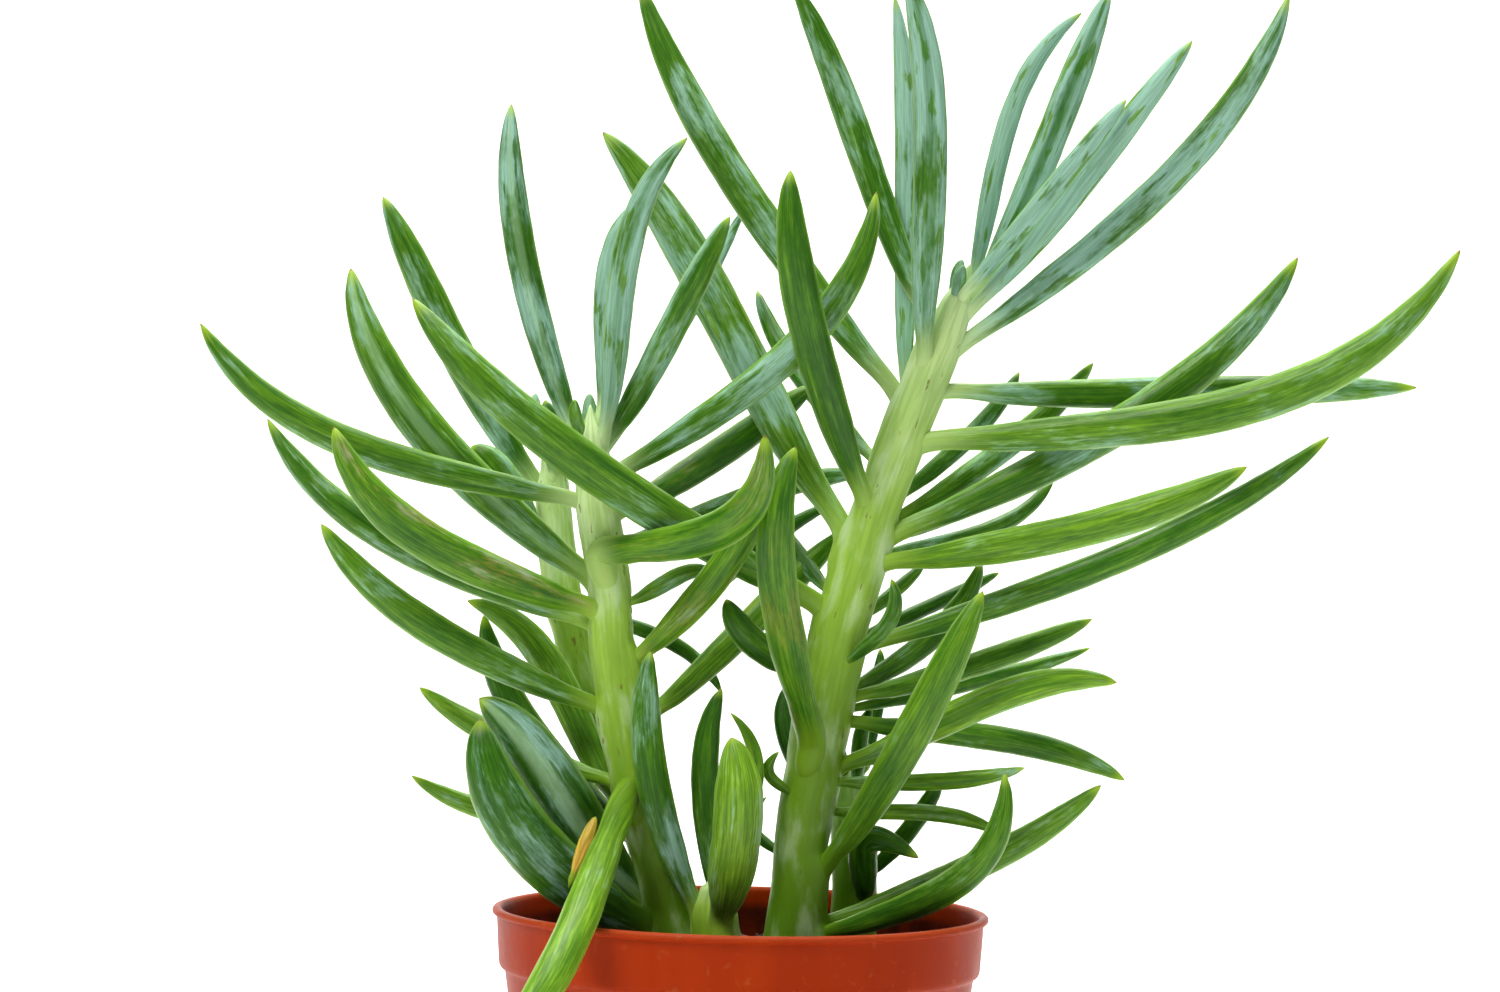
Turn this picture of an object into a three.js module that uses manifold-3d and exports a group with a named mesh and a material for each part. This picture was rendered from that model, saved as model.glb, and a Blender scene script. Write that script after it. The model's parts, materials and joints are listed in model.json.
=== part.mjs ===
// Potted chalk stick: a fleshy-leaved plant with five stems in a thin plastic nursery pot.
// Millimetres, +Z up. Origin: centre of the pot's underside. The plant's front faces -Y.
import * as THREE from "three";
import { mergeVertices } from "three/addons/utils/BufferGeometryUtils.js";
import Module from "manifold-3d";

const wasm = await Module();
wasm.setup();

// ---- Driving dimensions ----
const POT_HEIGHT = 90;
const LIP_RADIUS = 52.5;
const BASE_RADIUS = 38.5;
const BAND_HEIGHT = 13; // the upright band under the lip
const BAND_STEP = 1.1; // how far the wall steps in below the band
const LIP_HEIGHT = 1.6;
const LIP_OUT = 0.9; // how far the rolled lip stands out from the band
const WALL = 1.2;
const FOOT_HEIGHT = 2; // recess under the floor outside the solid centre
const DRAIN_HOLES = 6;
const DRAIN_RADIUS = 4;
const DRAIN_CIRCLE = 26;
const SOIL_BELOW_LIP = 9;
const GAP = 0.3; // between pieces that touch
const PLANT_SCALE = 1; // stem heights and leaf reaches
const LEAF_FLATNESS = 0.74; // thickness of a leaf over its width
const STEM_THICKNESS = 1; // multiplies every stem's radius, and how far the stems stand apart
const LEAF_SIDES = 8;
const LEAF_RINGS = 9;
const STEM_SIDES = 10;
const STEM_RINGS = 12;
const CLEARANCE = 0.45; // least space between leaves when they are set out

const SOIL_TOP = POT_HEIGHT - SOIL_BELOW_LIP;
const HANG = LIP_RADIUS / 52.5; // stretches the leaf that hangs over the front of the lip
const BAND_RADIUS = LIP_RADIUS - LIP_OUT;
const BAND_BOTTOM = POT_HEIGHT - BAND_HEIGHT;
const NECK_RADIUS = BAND_RADIUS - 0.8 - BAND_STEP;

// ---- Stems ----
// points: the centre line, right and back of the pot's axis, at equal steps from soil to tip.
// radii: at the soil, half way up and at the tip.
const STEMS = {
  left: {
    height: 115,
    radii: [5.2, 4.3, 2.3],
    points: [[-13, -6], [-17, -6], [-23, -6], [-27, -5], [-29, -5], [-32.5, -5], [-34, -5]],
  },
  right: {
    height: 147,
    radii: [5.8, 5, 3],
    points: [[11.5, 2], [12.5, 2], [16, 2], [21, 2], [28, 2], [37, 2], [46, 2]],
  },
  back: {
    height: 116,
    radii: [4.6, 4, 2.4],
    points: [[-15, 15], [-20, 16], [-27.5, 17], [-36, 18], [-40, 18], [-42, 18], [-44, 18]],
  },
  centre: {
    height: 17,
    radii: [4.4, 4, 3],
    points: [[-4, -14], [-4.5, -14], [-5, -14], [-5, -14]],
  },
  shoot: {
    height: 38,
    radii: [3.6, 3.2, 2.2],
    points: [[24, 15], [24.5, 15.5], [23.5, 16], [23, 16]],
  },
};

// ---- Leaves ----
// [name, stem, seat height above the soil, reach right, reach back, reach up, bow, set back, width]
// Reach runs from the stem's centre line to the leaf's tip. Bow moves the middle of the leaf to the
// right-hand side of its line as seen from the front, set back moves it away from the front.
const LEAVES = [
  ["left_leaf_01", "left", 6, -40.5, -16, 43.4, -5.5, -4, 12.6],
  ["left_leaf_02", "left", 11, -40.4, -2, 42.3, 2.5, 0, 11.9],
  ["left_leaf_03", "left", 24, -53.1, 18, 11, -3.5, 6, 4.8],
  ["left_leaf_04", "left", 25, -38, 20, 45, -5, 5, 7],
  ["left_leaf_05", "left", 32, -39, 14, 41, 6, 4, 7.2],
  ["left_leaf_06", "left", 35, -26 * HANG, -54 * HANG, -46, -4, -7 * HANG, 7.7],
  ["left_leaf_07", "left", 37, -47.2, 14, 17.2, -2, 5, 5.2],
  ["left_leaf_08", "left", 48, 46, 19, 42, 0, 3, 6.2],
  ["left_leaf_09", "left", 52, -63, -11, 37, -4.5, -2, 7],
  ["left_leaf_10", "left", 61, 31, -9, 41, 3, -3, 6.5],
  ["left_leaf_11", "left", 72, -57, -25, 37, -7, -5, 8.3],
  ["left_leaf_12", "left", 69, -75, 9, 42, -7, 0, 6.5],
  ["left_leaf_13", "left", 78, -56, 0, 65, -7, -3, 9],
  ["left_leaf_14", "left", 84, 33, -41, 25, 10, 1, 7.9],
  ["left_leaf_15", "left", 91, 45, 13, 30, 0.5, 4, 6.7],
  ["left_leaf_16", "left", 95, -82, -17, 35, -8.5, -3, 6.6],
  ["left_leaf_17", "left", 99, 58, -7, 62, 9, -3, 6.9],
  ["left_leaf_18", "left", 106, 28, -9, 49, 0, -3, 6.1],
  ["left_leaf_19", "left", 107, -19, 7, 72, -3, -1, 6.5],
  ["left_leaf_20", "left", 108, 19, -11, 63, -6, -2, 5.9],
  ["left_leaf_21", "left", 113, 8, 5, 45, -3.5, 0, 5.4],

  ["back_leaf_01", "back", 86, -19, -8, 20, 2, -1, 7.2],
  ["back_leaf_02", "back", 97, -39, 2, 63, -0.5, -1, 7.4],

  ["centre_leaf_01", "centre", 8, 2, -12, 39, 2, -2, 10.4],
  ["centre_leaf_02", "centre", 10, -15, 0, 54, -3, -2, 7],
  ["centre_leaf_03", "centre", 11, 0, 8, 45, -3, 0, 5.9],

  ["right_leaf_01", "right", 4, 42.7, -18, 36.4, 9, -5, 6.4],
  ["right_leaf_02", "right", 6, 64.4, 0, 30.9, 3, 2, 6.2],
  ["right_leaf_03", "right", 18, 37, -18, 60, 0.5, -4, 7.8],
  ["right_leaf_04", "right", 40, 64, -6, 19, -5, -4, 6.6],
  ["right_leaf_05", "right", 45, -6, -32, 62, -5, -7, 8.2],
  ["right_leaf_06", "right", 50, 65, 0, -12, -3, 3, 5.5],
  ["right_leaf_07", "right", 55, 57, 6, 17, 1, 2, 5.2],
  ["right_leaf_08", "right", 56, 33, 10, 28, 4, 4, 5.2],
  ["right_leaf_09", "right", 58, -22, -10, 17, -2, -2, 6.2],
  ["right_leaf_10", "right", 66, 103, -6, 46, 4.5, -1, 6.2],
  ["right_leaf_11", "right", 72, -91, -26, 64, -5, -9, 9],
  ["right_leaf_12", "right", 84, 79, -24, 21, 3, -5, 7.4],
  ["right_leaf_13", "right", 88, -58, 6, 86, 3, 3, 9.7],
  ["right_leaf_14", "right", 90, 90, -2, 60, 7, -3, 8],
  ["right_leaf_15", "right", 93, 47, 10, 34, 2, 1.5, 5.2],
  ["right_leaf_16", "right", 95, -20, -26, 69, -3, -5, 8],
  ["right_leaf_17", "right", 110, 114, -22, 41, 14, -4, 8.5],
  ["right_leaf_18", "right", 117, -61, 14, 90, -4, 0, 7.7],
  ["right_leaf_19", "right", 121, 106, 4, 2, 0, 1, 6.8],
  ["right_leaf_20", "right", 125, -8, -16, 82, 4, -2, 7.1],
  ["right_leaf_21", "right", 117, -6, 10, 88, 2, 1, 5.2],
  ["right_leaf_22", "right", 130, 72, -6, 75, 7, -2, 6.8],
  ["right_leaf_23", "right", 133, -34, 6, 74, 1.5, 2.5, 6.6],
  ["right_leaf_24", "right", 138, 48, -14, 56, 0, -4, 5.7],
  ["right_leaf_25", "right", 141, 33, -10, 40, 0, -2, 5.6],
  ["right_leaf_26", "right", 142, 25, 8, 60, -6, 2, 4.6],
  ["right_leaf_27", "right", 143, 30, 0, 63, 0, -1, 6.8],
];

const root = new THREE.Group();

function addMesh(name, geometry, color, roughness) {
  const material = new THREE.MeshStandardMaterial({ color, roughness, metalness: 0 });
  const mesh = new THREE.Mesh(geometry, material);
  mesh.name = name;
  root.add(mesh);
}

// ---- Solids for cutting ----
function solidOf(geometry) {
  geometry.deleteAttribute("normal");
  geometry.deleteAttribute("uv");
  const merged = mergeVertices(geometry, 1e-4);
  return new wasm.Manifold(
    new wasm.Mesh({
      numProp: 3,
      vertProperties: merged.attributes.position.array,
      triVerts: new Uint32Array(merged.index.array),
    }),
  );
}

function geometryOf(solid) {
  const mesh = solid.getMesh();
  return new THREE.BufferGeometry()
    .setAttribute("position", new THREE.BufferAttribute(new Float32Array(mesh.vertProperties), 3))
    .setIndex(new THREE.BufferAttribute(new Uint32Array(mesh.triVerts), 1));
}

// A profile of [radius, height] pairs turned round the pot's axis.
function turned(profile, segments) {
  const geometry = new THREE.LatheGeometry(
    profile.map(([r, z]) => new THREE.Vector2(r, z)),
    segments,
  );
  return geometry.rotateX(Math.PI / 2);
}

// ---- Pot ----
// Outer radius of the wall below the band, at a height.
function wallRadius(z) {
  return BASE_RADIUS + (NECK_RADIUS - BASE_RADIUS) * (z / BAND_BOTTOM);
}

function potSolid() {
  const floor = FOOT_HEIGHT + WALL;
  const bandInside = BAND_RADIUS - WALL;
  const shell = solidOf(
    turned(
      [
        [0, 0],
        [BASE_RADIUS, 0],
        [NECK_RADIUS, BAND_BOTTOM],
        [BAND_RADIUS - 0.8, BAND_BOTTOM + 0.8],
        [BAND_RADIUS, POT_HEIGHT - LIP_HEIGHT],
        [LIP_RADIUS, POT_HEIGHT - LIP_HEIGHT + 0.3],
        [LIP_RADIUS, POT_HEIGHT - 0.4],
        [LIP_RADIUS - 0.5, POT_HEIGHT],
        [bandInside + 0.3, POT_HEIGHT],
        [bandInside - 0.4, POT_HEIGHT - 2],
        [NECK_RADIUS - WALL, BAND_BOTTOM],
        [wallRadius(floor) - WALL, floor],
        [0, floor],
      ],
      48,
    ),
  );
  // The ring between the solid centre and the foot is recessed, and the drain holes pass through it.
  const recess = new THREE.LatheGeometry(
    [
      [DRAIN_CIRCLE - DRAIN_RADIUS - 2, -1],
      [DRAIN_CIRCLE + DRAIN_RADIUS + 2, -1],
      [DRAIN_CIRCLE + DRAIN_RADIUS + 2, FOOT_HEIGHT],
      [DRAIN_CIRCLE - DRAIN_RADIUS - 2, FOOT_HEIGHT],
      [DRAIN_CIRCLE - DRAIN_RADIUS - 2, -1],
    ].map(([r, z]) => new THREE.Vector2(r, z)),
    36,
  ).rotateX(Math.PI / 2);
  let pot = shell.subtract(solidOf(recess));
  for (let i = 0; i < DRAIN_HOLES; i++) {
    const angle = ((i + 0.5) / DRAIN_HOLES) * 2 * Math.PI;
    const hole = new THREE.CylinderGeometry(DRAIN_RADIUS, DRAIN_RADIUS, 3 * floor, 14)
      .rotateX(Math.PI / 2)
      .translate(DRAIN_CIRCLE * Math.cos(angle), DRAIN_CIRCLE * Math.sin(angle), 0);
    pot = pot.subtract(solidOf(hole));
  }
  return pot;
}

function soilGeometry() {
  const bottom = FOOT_HEIGHT + WALL + GAP;
  const inside = (z) => wallRadius(z) - WALL - GAP;
  return turned(
    [
      [0, bottom],
      [inside(bottom), bottom],
      [inside(BAND_BOTTOM), BAND_BOTTOM],
      [inside(BAND_BOTTOM), SOIL_TOP - 2],
      [LIP_RADIUS * 0.8, SOIL_TOP - 0.8],
      [LIP_RADIUS * 0.6, SOIL_TOP],
      [0, SOIL_TOP],
    ],
    32,
  );
}

// ---- Stems ----
function makeStem({ height, radii, points }) {
  const foot = SOIL_TOP + GAP;
  const tall = height * PLANT_SCALE;
  const line = new THREE.CatmullRomCurve3(
    points.map(([x, y], i) =>
      new THREE.Vector3(x, y, 0)
        .multiplyScalar(STEM_THICKNESS)
        .setZ(foot + (tall * i) / (points.length - 1)),
    ),
  );
  const share = (z) => THREE.MathUtils.clamp((z - foot) / tall, 0, 1);
  const centre = (z) => line.getPoint(share(z));
  const lean = (z) => line.getTangent(share(z));
  const radius = (z) => {
    const halves = share(z) * 2;
    const [low, high] = halves < 1 ? [radii[0], radii[1]] : [radii[1], radii[2]];
    const flare = 1 + 0.15 * Math.max(0, 1 - (z - foot) / 8);
    return STEM_THICKNESS * flare * THREE.MathUtils.lerp(low, high, halves < 1 ? halves : halves - 1);
  };
  return { foot, tall, top: foot + tall, centre, lean, radius };
}

// ---- Fleshy shapes ----
// A sphere drawn out along a centre line: one ring of the sphere to each station, the first station
// closed flat and the last drawn to a point. Each station has a centre, two section axes and two radii.
function drawnOut(stations, tipPoint, sides) {
  const rings = stations.length + 1;
  const geometry = new THREE.SphereGeometry(1, sides, rings);
  const position = geometry.attributes.position;
  const uv = geometry.attributes.uv;
  const at = new THREE.Vector3();
  for (let i = 0; i < position.count; i++) {
    const ring = Math.round((1 - uv.getY(i)) * rings);
    if (ring === 0) at.copy(tipPoint);
    else if (ring === rings) at.copy(stations[0].centre);
    else {
      const column = Math.round(uv.getX(i) * sides) % sides;
      const angle = (column / sides) * 2 * Math.PI;
      const { centre, broad, thin, halfWidth, halfThick } = stations[stations.length - ring];
      at.copy(centre)
        .addScaledVector(broad, halfWidth * Math.cos(angle))
        .addScaledVector(thin, halfThick * Math.sin(angle));
    }
    position.setXYZ(i, at.x, at.y, at.z);
  }
  geometry.deleteAttribute("normal");
  geometry.deleteAttribute("uv");
  return mergeVertices(geometry, 1e-4);
}

function stemGeometry(stem) {
  const stations = [];
  for (let i = 0; i < STEM_RINGS; i++) {
    const z = stem.foot + (stem.tall * i) / STEM_RINGS;
    stations.push({
      centre: stem.centre(z).setZ(z),
      broad: new THREE.Vector3(1, 0, 0),
      thin: new THREE.Vector3(0, 1, 0),
      halfWidth: stem.radius(z),
      halfThick: stem.radius(z),
    });
  }
  return drawnOut(stations, stem.centre(stem.top).setZ(stem.top), STEM_SIDES);
}

// ---- Leaves ----
const BACK = new THREE.Vector3(0, 1, 0);

// Half width of a leaf along its length, as a share of its greatest half width: narrow at the seat,
// broadest past the middle, then drawn to a point.
function outline(t) {
  const rise = 0.5 + 0.5 * Math.min(1, t / 0.32) ** 0.8;
  const fall = t < 0.6 ? 1 : Math.sqrt(Math.max(0, 1 - ((t - 0.6) / 0.41) ** 2.2));
  return rise * fall;
}

// Stations of a leaf, from its seat on the stem to just short of its tip, and the tip itself.
// turn swings the seat round the stem, aside moves the middle and tip to the back or front.
function leafStations(row, turn, aside) {
  const [, stemName, seat, right, back, up, bow, setBack, width] = row;
  const stem = stems[stemName];
  const z = SOIL_TOP + seat * PLANT_SCALE;
  const axis = stem.centre(z).setZ(z);
  const tip = axis
    .clone()
    .add(new THREE.Vector3(right, back + aside, up).multiplyScalar(PLANT_SCALE));
  const heading = Math.atan2(back + aside, right) + turn;
  const outward = new THREE.Vector3(Math.cos(heading), Math.sin(heading), 0);
  const lean = stem.lean(z);
  outward.addScaledVector(lean, -outward.dot(lean)).normalize();
  const start = axis.clone().addScaledVector(outward, stem.radius(z) + GAP * PLANT_SCALE);
  const chord = tip.clone().sub(start);
  const sideways = new THREE.Vector3(chord.z, 0, -chord.x).normalize();
  const bend = sideways
    .multiplyScalar(bow * PLANT_SCALE)
    .addScaledVector(BACK, (setBack + aside * 0.3) * PLANT_SCALE);
  const lead = outward.clone().multiplyScalar(width * 0.5);
  const curve = new THREE.CubicBezierCurve3(
    start,
    start.clone().addScaledVector(chord, 0.3).addScaledVector(bend, 0.5).add(lead),
    start.clone().addScaledVector(chord, 0.7).addScaledVector(bend, 2.1),
    tip,
  );
  const half = width / 2;
  const shares = [];
  for (let i = 0; i < LEAF_RINGS; i++) shares.push(((i / LEAF_RINGS) ** 0.9) * 1.02);
  const centres = shares.map((t) => curve.getPoint(t));
  // Near the seat the leaf stands off its own stem by half its width.
  for (let i = 1; i < centres.length; i++) {
    const p = centres[i];
    if (p.z > stem.top + half) break;
    const off = p.clone().sub(stem.centre(p.z)).setZ(0);
    const steep = Math.abs(centres[i].z - centres[i - 1].z) / centres[i].distanceTo(centres[i - 1]);
    const need = stem.radius(p.z) + 2 * GAP * PLANT_SCALE + half * outline(shares[i]) * (0.3 + 0.7 * steep);
    if (off.length() < need) p.addScaledVector(off.clone().normalize(), need - off.length());
  }
  const stations = centres.map((centre, i) => {
    const before = centres[Math.max(0, i - 1)];
    const after = centres[i + 1] ?? tip;
    const along = i === 0 ? outward.clone() : after.clone().sub(before).normalize();
    const halfWidth = half * outline(shares[i]);
    return { centre, along, halfWidth, halfThick: halfWidth * LEAF_FLATNESS };
  });
  for (let i = stations.length - 1; i >= 0; i--) {
    const s = stations[i];
    s.broad = i > 0 ? BACK.clone().cross(s.along) : stations[1].broad.clone();
    s.broad.addScaledVector(s.along, -s.broad.dot(s.along)).normalize();
    s.thin = s.along.clone().cross(s.broad);
  }
  return { stations, tip, half };
}

// Beads along a leaf or a stem, for finding out whether two pieces keep clear of each other.
// A bead is thinner from front to back than it is wide, as the leaf is.
function beadsOfLeaf({ stations, tip }) {
  const beads = [];
  stations.forEach((s, i) => {
    const next = stations[i + 1] ?? { centre: tip, halfWidth: 0.3 };
    for (const k of [0, 0.25, 0.5, 0.75])
      beads.push({
        p: s.centre.clone().lerp(next.centre, k),
        r: THREE.MathUtils.lerp(s.halfWidth, next.halfWidth, k),
        flat: LEAF_FLATNESS,
        share: (i + k) / stations.length,
      });
  });
  return beads;
}

function beadsOfStem(stem) {
  const beads = [];
  for (let z = stem.foot; z < stem.top; z += 2)
    beads.push({ p: stem.centre(z).setZ(z), r: stem.radius(z), flat: 1, share: 1 });
  return beads;
}

function spaceBetween(a, b) {
  const dx = b.p.x - a.p.x;
  const dy = b.p.y - a.p.y;
  const dz = b.p.z - a.p.z;
  const apart = Math.hypot(dx, dy, dz);
  const reachOf = (bead) => (bead.r * Math.hypot(dx, bead.flat * dy, dz)) / (apart || 1);
  return apart - reachOf(a) - reachOf(b);
}

// Space between a bead and the pot's wall and lip, and the soil.
function spaceToPot(bead) {
  const out = Math.hypot(bead.p.x, bead.p.y);
  const above = Math.max(0, bead.p.z - POT_HEIGHT);
  const wall = bead.p.z > BAND_BOTTOM ? LIP_RADIUS - 0.7 : wallRadius(bead.p.z) - 0.7;
  const fromLip = Math.hypot(out - wall, above) - bead.r * (above > 0 ? 1 : 0.8) - 1.4;
  const fromSoil = out < LIP_RADIUS ? bead.p.z - SOIL_TOP - bead.r - GAP : fromLip;
  return Math.min(fromLip, fromSoil);
}

const stems = {};
for (const [name, dimensions] of Object.entries(STEMS)) stems[name] = makeStem(dimensions);

const placed = Object.entries(stems).map(([name, stem]) => ({ name, beads: beadsOfStem(stem) }));

function leastSpace(beads, ownStem) {
  let least = Infinity;
  for (const bead of beads) {
    least = Math.min(least, spaceToPot(bead));
    for (const other of placed) {
      if (other.name === ownStem) continue;
      for (const b of other.beads) {
        if (Math.abs(b.p.z - bead.p.z) > 14 || Math.abs(b.p.x - bead.p.x) > 14) continue;
        least = Math.min(least, spaceBetween(bead, b));
      }
    }
    if (least < -20) break;
  }
  return least;
}

// Ways for a leaf to give way, from none at all outwards: a turn round the stem and a move to the
// back or front.
const WAYS = [];
for (let turn = -6; turn <= 6; turn++)
  for (let aside = -10; aside <= 10; aside++)
    WAYS.push({ turn: turn * 0.2, aside: aside * 1.5, cost: Math.abs(turn) + Math.abs(aside) });
WAYS.sort((a, b) => a.cost - b.cost);

// Long leaves are set out first, and short ones give way to them.
const reachLength = ([, , , right, back, up]) => Math.hypot(right, back, up);
const leafShapes = new Map();
for (const row of [...LEAVES].sort((a, b) => reachLength(b) - reachLength(a))) {
  let best = null;
  for (const way of WAYS) {
    const shape = leafStations(row, way.turn, way.aside);
    const beads = beadsOfLeaf(shape);
    const space = leastSpace(beads, row[1]);
    if (!best || space > best.space) best = { shape, beads, space, way };
    if (space > CLEARANCE) break;
  }
  placed.push({ name: row[0], beads: best.beads });
  leafShapes.set(row[0], best);
}

// ---- The object ----
addMesh("plastic_pot", geometryOf(potSolid()), 0xb84019, 0.42);
addMesh("soil", soilGeometry(), 0x2e211a, 0.95);
for (const [name, stem] of Object.entries(stems))
  addMesh(name + "_stem", stemGeometry(stem), name === "back" ? 0x6f9440 : 0x8fb84a, 0.55);
for (const [name] of LEAVES) {
  const { stations, tip } = leafShapes.get(name).shape;
  addMesh(name, drawnOut(stations, tip, LEAF_SIDES), 0x5f9a6a, 0.6);
}

export default root;
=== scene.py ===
# %% [markdown]
# # A potted chalk stick
# The plant is a succulent: fleshy stems that stand in a thin plastic nursery pot, with long
# fingers of leaves that curve upwards. The CAD model already says where each leaf, each stem, the
# soil and the pot are. This script gives them their real surfaces: it reads the line of every leaf
# from its plain CAD solid and grows a smooth leaf along that line with Geometry Nodes.

# %% Load the frame
import json
import math
from collections import namedtuple

import bmesh
import bpy
import numpy as np
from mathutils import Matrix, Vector

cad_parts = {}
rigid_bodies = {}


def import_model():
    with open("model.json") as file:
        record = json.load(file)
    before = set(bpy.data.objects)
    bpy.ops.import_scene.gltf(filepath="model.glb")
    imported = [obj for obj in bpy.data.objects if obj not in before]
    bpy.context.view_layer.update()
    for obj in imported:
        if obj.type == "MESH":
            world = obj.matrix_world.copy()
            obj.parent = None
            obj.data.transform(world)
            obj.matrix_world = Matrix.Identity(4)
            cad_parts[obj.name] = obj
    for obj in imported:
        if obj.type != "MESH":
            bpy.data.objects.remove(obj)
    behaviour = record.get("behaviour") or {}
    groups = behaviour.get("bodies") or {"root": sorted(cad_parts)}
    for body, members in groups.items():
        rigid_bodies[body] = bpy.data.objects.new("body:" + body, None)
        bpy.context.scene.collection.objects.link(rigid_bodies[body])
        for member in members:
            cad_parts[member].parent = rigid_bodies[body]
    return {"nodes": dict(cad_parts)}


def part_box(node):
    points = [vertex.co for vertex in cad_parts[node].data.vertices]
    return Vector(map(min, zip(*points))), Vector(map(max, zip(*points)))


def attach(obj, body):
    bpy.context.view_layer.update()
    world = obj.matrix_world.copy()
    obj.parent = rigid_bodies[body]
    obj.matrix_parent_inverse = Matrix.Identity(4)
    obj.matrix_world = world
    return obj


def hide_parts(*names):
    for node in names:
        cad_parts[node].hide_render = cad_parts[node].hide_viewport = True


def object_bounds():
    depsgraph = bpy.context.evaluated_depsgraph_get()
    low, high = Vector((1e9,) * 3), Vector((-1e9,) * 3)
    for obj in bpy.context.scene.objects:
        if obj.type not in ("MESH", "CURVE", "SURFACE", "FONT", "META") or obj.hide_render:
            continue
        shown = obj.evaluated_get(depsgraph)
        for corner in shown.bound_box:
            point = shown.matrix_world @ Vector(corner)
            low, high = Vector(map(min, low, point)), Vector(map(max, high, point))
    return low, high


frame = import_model()
CAD_BOX = [list(corner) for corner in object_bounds()]
NODES = sorted(frame["nodes"])
MM = 0.001
print("frame:", len(NODES), "nodes, box in mm", [[round(v / MM) for v in c] for c in CAD_BOX])

# %% [markdown]
# Three helpers are used all the way down. Colours are written as the hex values a painter would
# pick from a screen, and turned to the linear numbers that light is worked out in. Nodes are added
# by one function, for Geometry Nodes and for materials alike: it takes the node's settings, and
# what goes into its sockets, by name or in their order: a value, a socket or a whole node. The
# third makes an object from plain lists of points, faces and edges.


# %% Helpers for colours and nodes
def linear(hex_colour, alpha=1.0):
    parts = [int(hex_colour[i : i + 2], 16) / 255 for i in (1, 3, 5)]
    return tuple(c / 12.92 if c <= 0.04045 else ((c + 0.055) / 1.055) ** 2.4 for c in parts) + (alpha,)


def add(tree, kind, settings=None, into=()):
    made = tree.nodes.new(kind)
    for name, value in (settings or {}).items():
        setattr(made, name, value)
    open_sockets = [s for s in made.inputs if s.enabled]
    for name, value in into.items() if isinstance(into, dict) else enumerate(into):
        by_order = isinstance(name, int)
        socket = open_sockets[name] if by_order else next(s for s in open_sockets if s.name == name)
        if isinstance(value, bpy.types.Node):
            value = next(s for s in value.outputs if s.enabled)
        if isinstance(value, bpy.types.NodeSocket):
            tree.links.new(value, socket)
        else:
            socket.default_value = value
    return made


def mesh_object(name, vertices, faces=(), edges=()):
    mesh = bpy.data.meshes.new(name)
    mesh.from_pydata([tuple(v) for v in vertices], list(edges), list(faces))
    mesh.update()
    made = bpy.data.objects.new(name, mesh)
    bpy.context.scene.collection.objects.link(made)
    return made


MATH, VECTORS, NOISE = "ShaderNodeMath", "ShaderNodeVectorMath", "ShaderNodeTexNoise"
SEPARATE, COMBINE, MAP = "ShaderNodeSeparateXYZ", "ShaderNodeCombineXYZ", "ShaderNodeMapRange"
MOVE, REALIZE = "GeometryNodeSetPosition", "GeometryNodeRealizeInstances"
ATTRIBUTE, MIX = "ShaderNodeAttribute", "ShaderNodeMix"
BUMP, RAMP = "ShaderNodeBump", "ShaderNodeValToRGB"
PLUS, MINUS, TIMES, SCALED = ({"operation": op} for op in ("ADD", "SUBTRACT", "MULTIPLY", "SCALE"))
TIMES_PLUS, SINE, COSINE = ({"operation": op} for op in ("MULTIPLY_ADD", "SINE", "COSINE"))
POWER, EXPONENT, DIVIDE = ({"operation": op} for op in ("POWER", "EXPONENT", "DIVIDE"))
CLAMPED_TIMES = {"operation": "MULTIPLY", "use_clamp": True}
SMOOTH, COLOURS = {"interpolation_type": "SMOOTHSTEP"}, {"data_type": "RGBA"}
print("helpers ready: #808080 is", round(linear("#808080")[0], 3), "in linear light")

# %% [markdown]
# The camera comes first, so that every later look is through it. It stands level with the middle
# of the plant, about 85 cm from the pot, with a long lens, and leans a little to one side as a
# hand-held camera does.

# %% Camera
CAMERA_PLACE = (0.0001, -0.850, 0.1777)
CAMERA_LEAN = -1.25  # degrees
LENS, SENSOR_WIDTH = 96.168, 36  # mm
camera_data = bpy.data.cameras.new("camera")
camera_data.sensor_width = SENSOR_WIDTH
camera_data.lens = LENS
camera_data.clip_end = 20
camera = bpy.data.objects.new("camera", camera_data)
camera.location = CAMERA_PLACE
camera.rotation_euler = (math.radians(90), math.radians(CAMERA_LEAN), 0)
bpy.context.scene.collection.objects.link(camera)
bpy.context.scene.camera = camera
bpy.context.scene.view_settings.view_transform = "Standard"
print("camera lens", round(camera_data.lens, 1), "mm")

# %% [markdown]
# ## Reading the leaves' lines
# Each CAD leaf is nine rings of eight points, a flat seat and a point at the tip. Walking outwards
# from the seat, edge by edge, meets the rings one after another. The middle of a ring is a point
# of the leaf's centre line, and how far the ring spreads gives the half width there. The stems,
# with twelve rings of ten points, are read in the same way.

# %% Walk a solid ring by ring
LEAF_SIDES, STEM_SIDES = 8, 10
TOUCHING = 1e-6  # two points closer than this, in metres, are one
Line = namedtuple("Line", "middles halves tip")


def rings_of(name):
    work = bmesh.new()
    work.from_mesh(frame["nodes"][name].data)
    bmesh.ops.remove_doubles(work, verts=work.verts, dist=TOUCHING)
    work.verts.ensure_lookup_table()

    def flatness(vert):
        around = [e.other_vert(vert).co for e in vert.link_edges]
        middle = sum(around, Vector()) / len(around)
        return (middle - vert.co).length

    sides = STEM_SIDES if name.endswith("_stem") else LEAF_SIDES
    ends = [v for v in work.verts if len(v.link_edges) == sides]
    seat = min(ends, key=flatness)
    rings, seen, front = [], {seat}, [seat]
    while front:
        rings.append(np.array([v.co[:] for v in front]))
        nearby = {e.other_vert(v) for v in front for e in v.link_edges} - seen
        seen |= nearby
        front = sorted(nearby, key=lambda v: v.index)
    work.free()
    return rings


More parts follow.
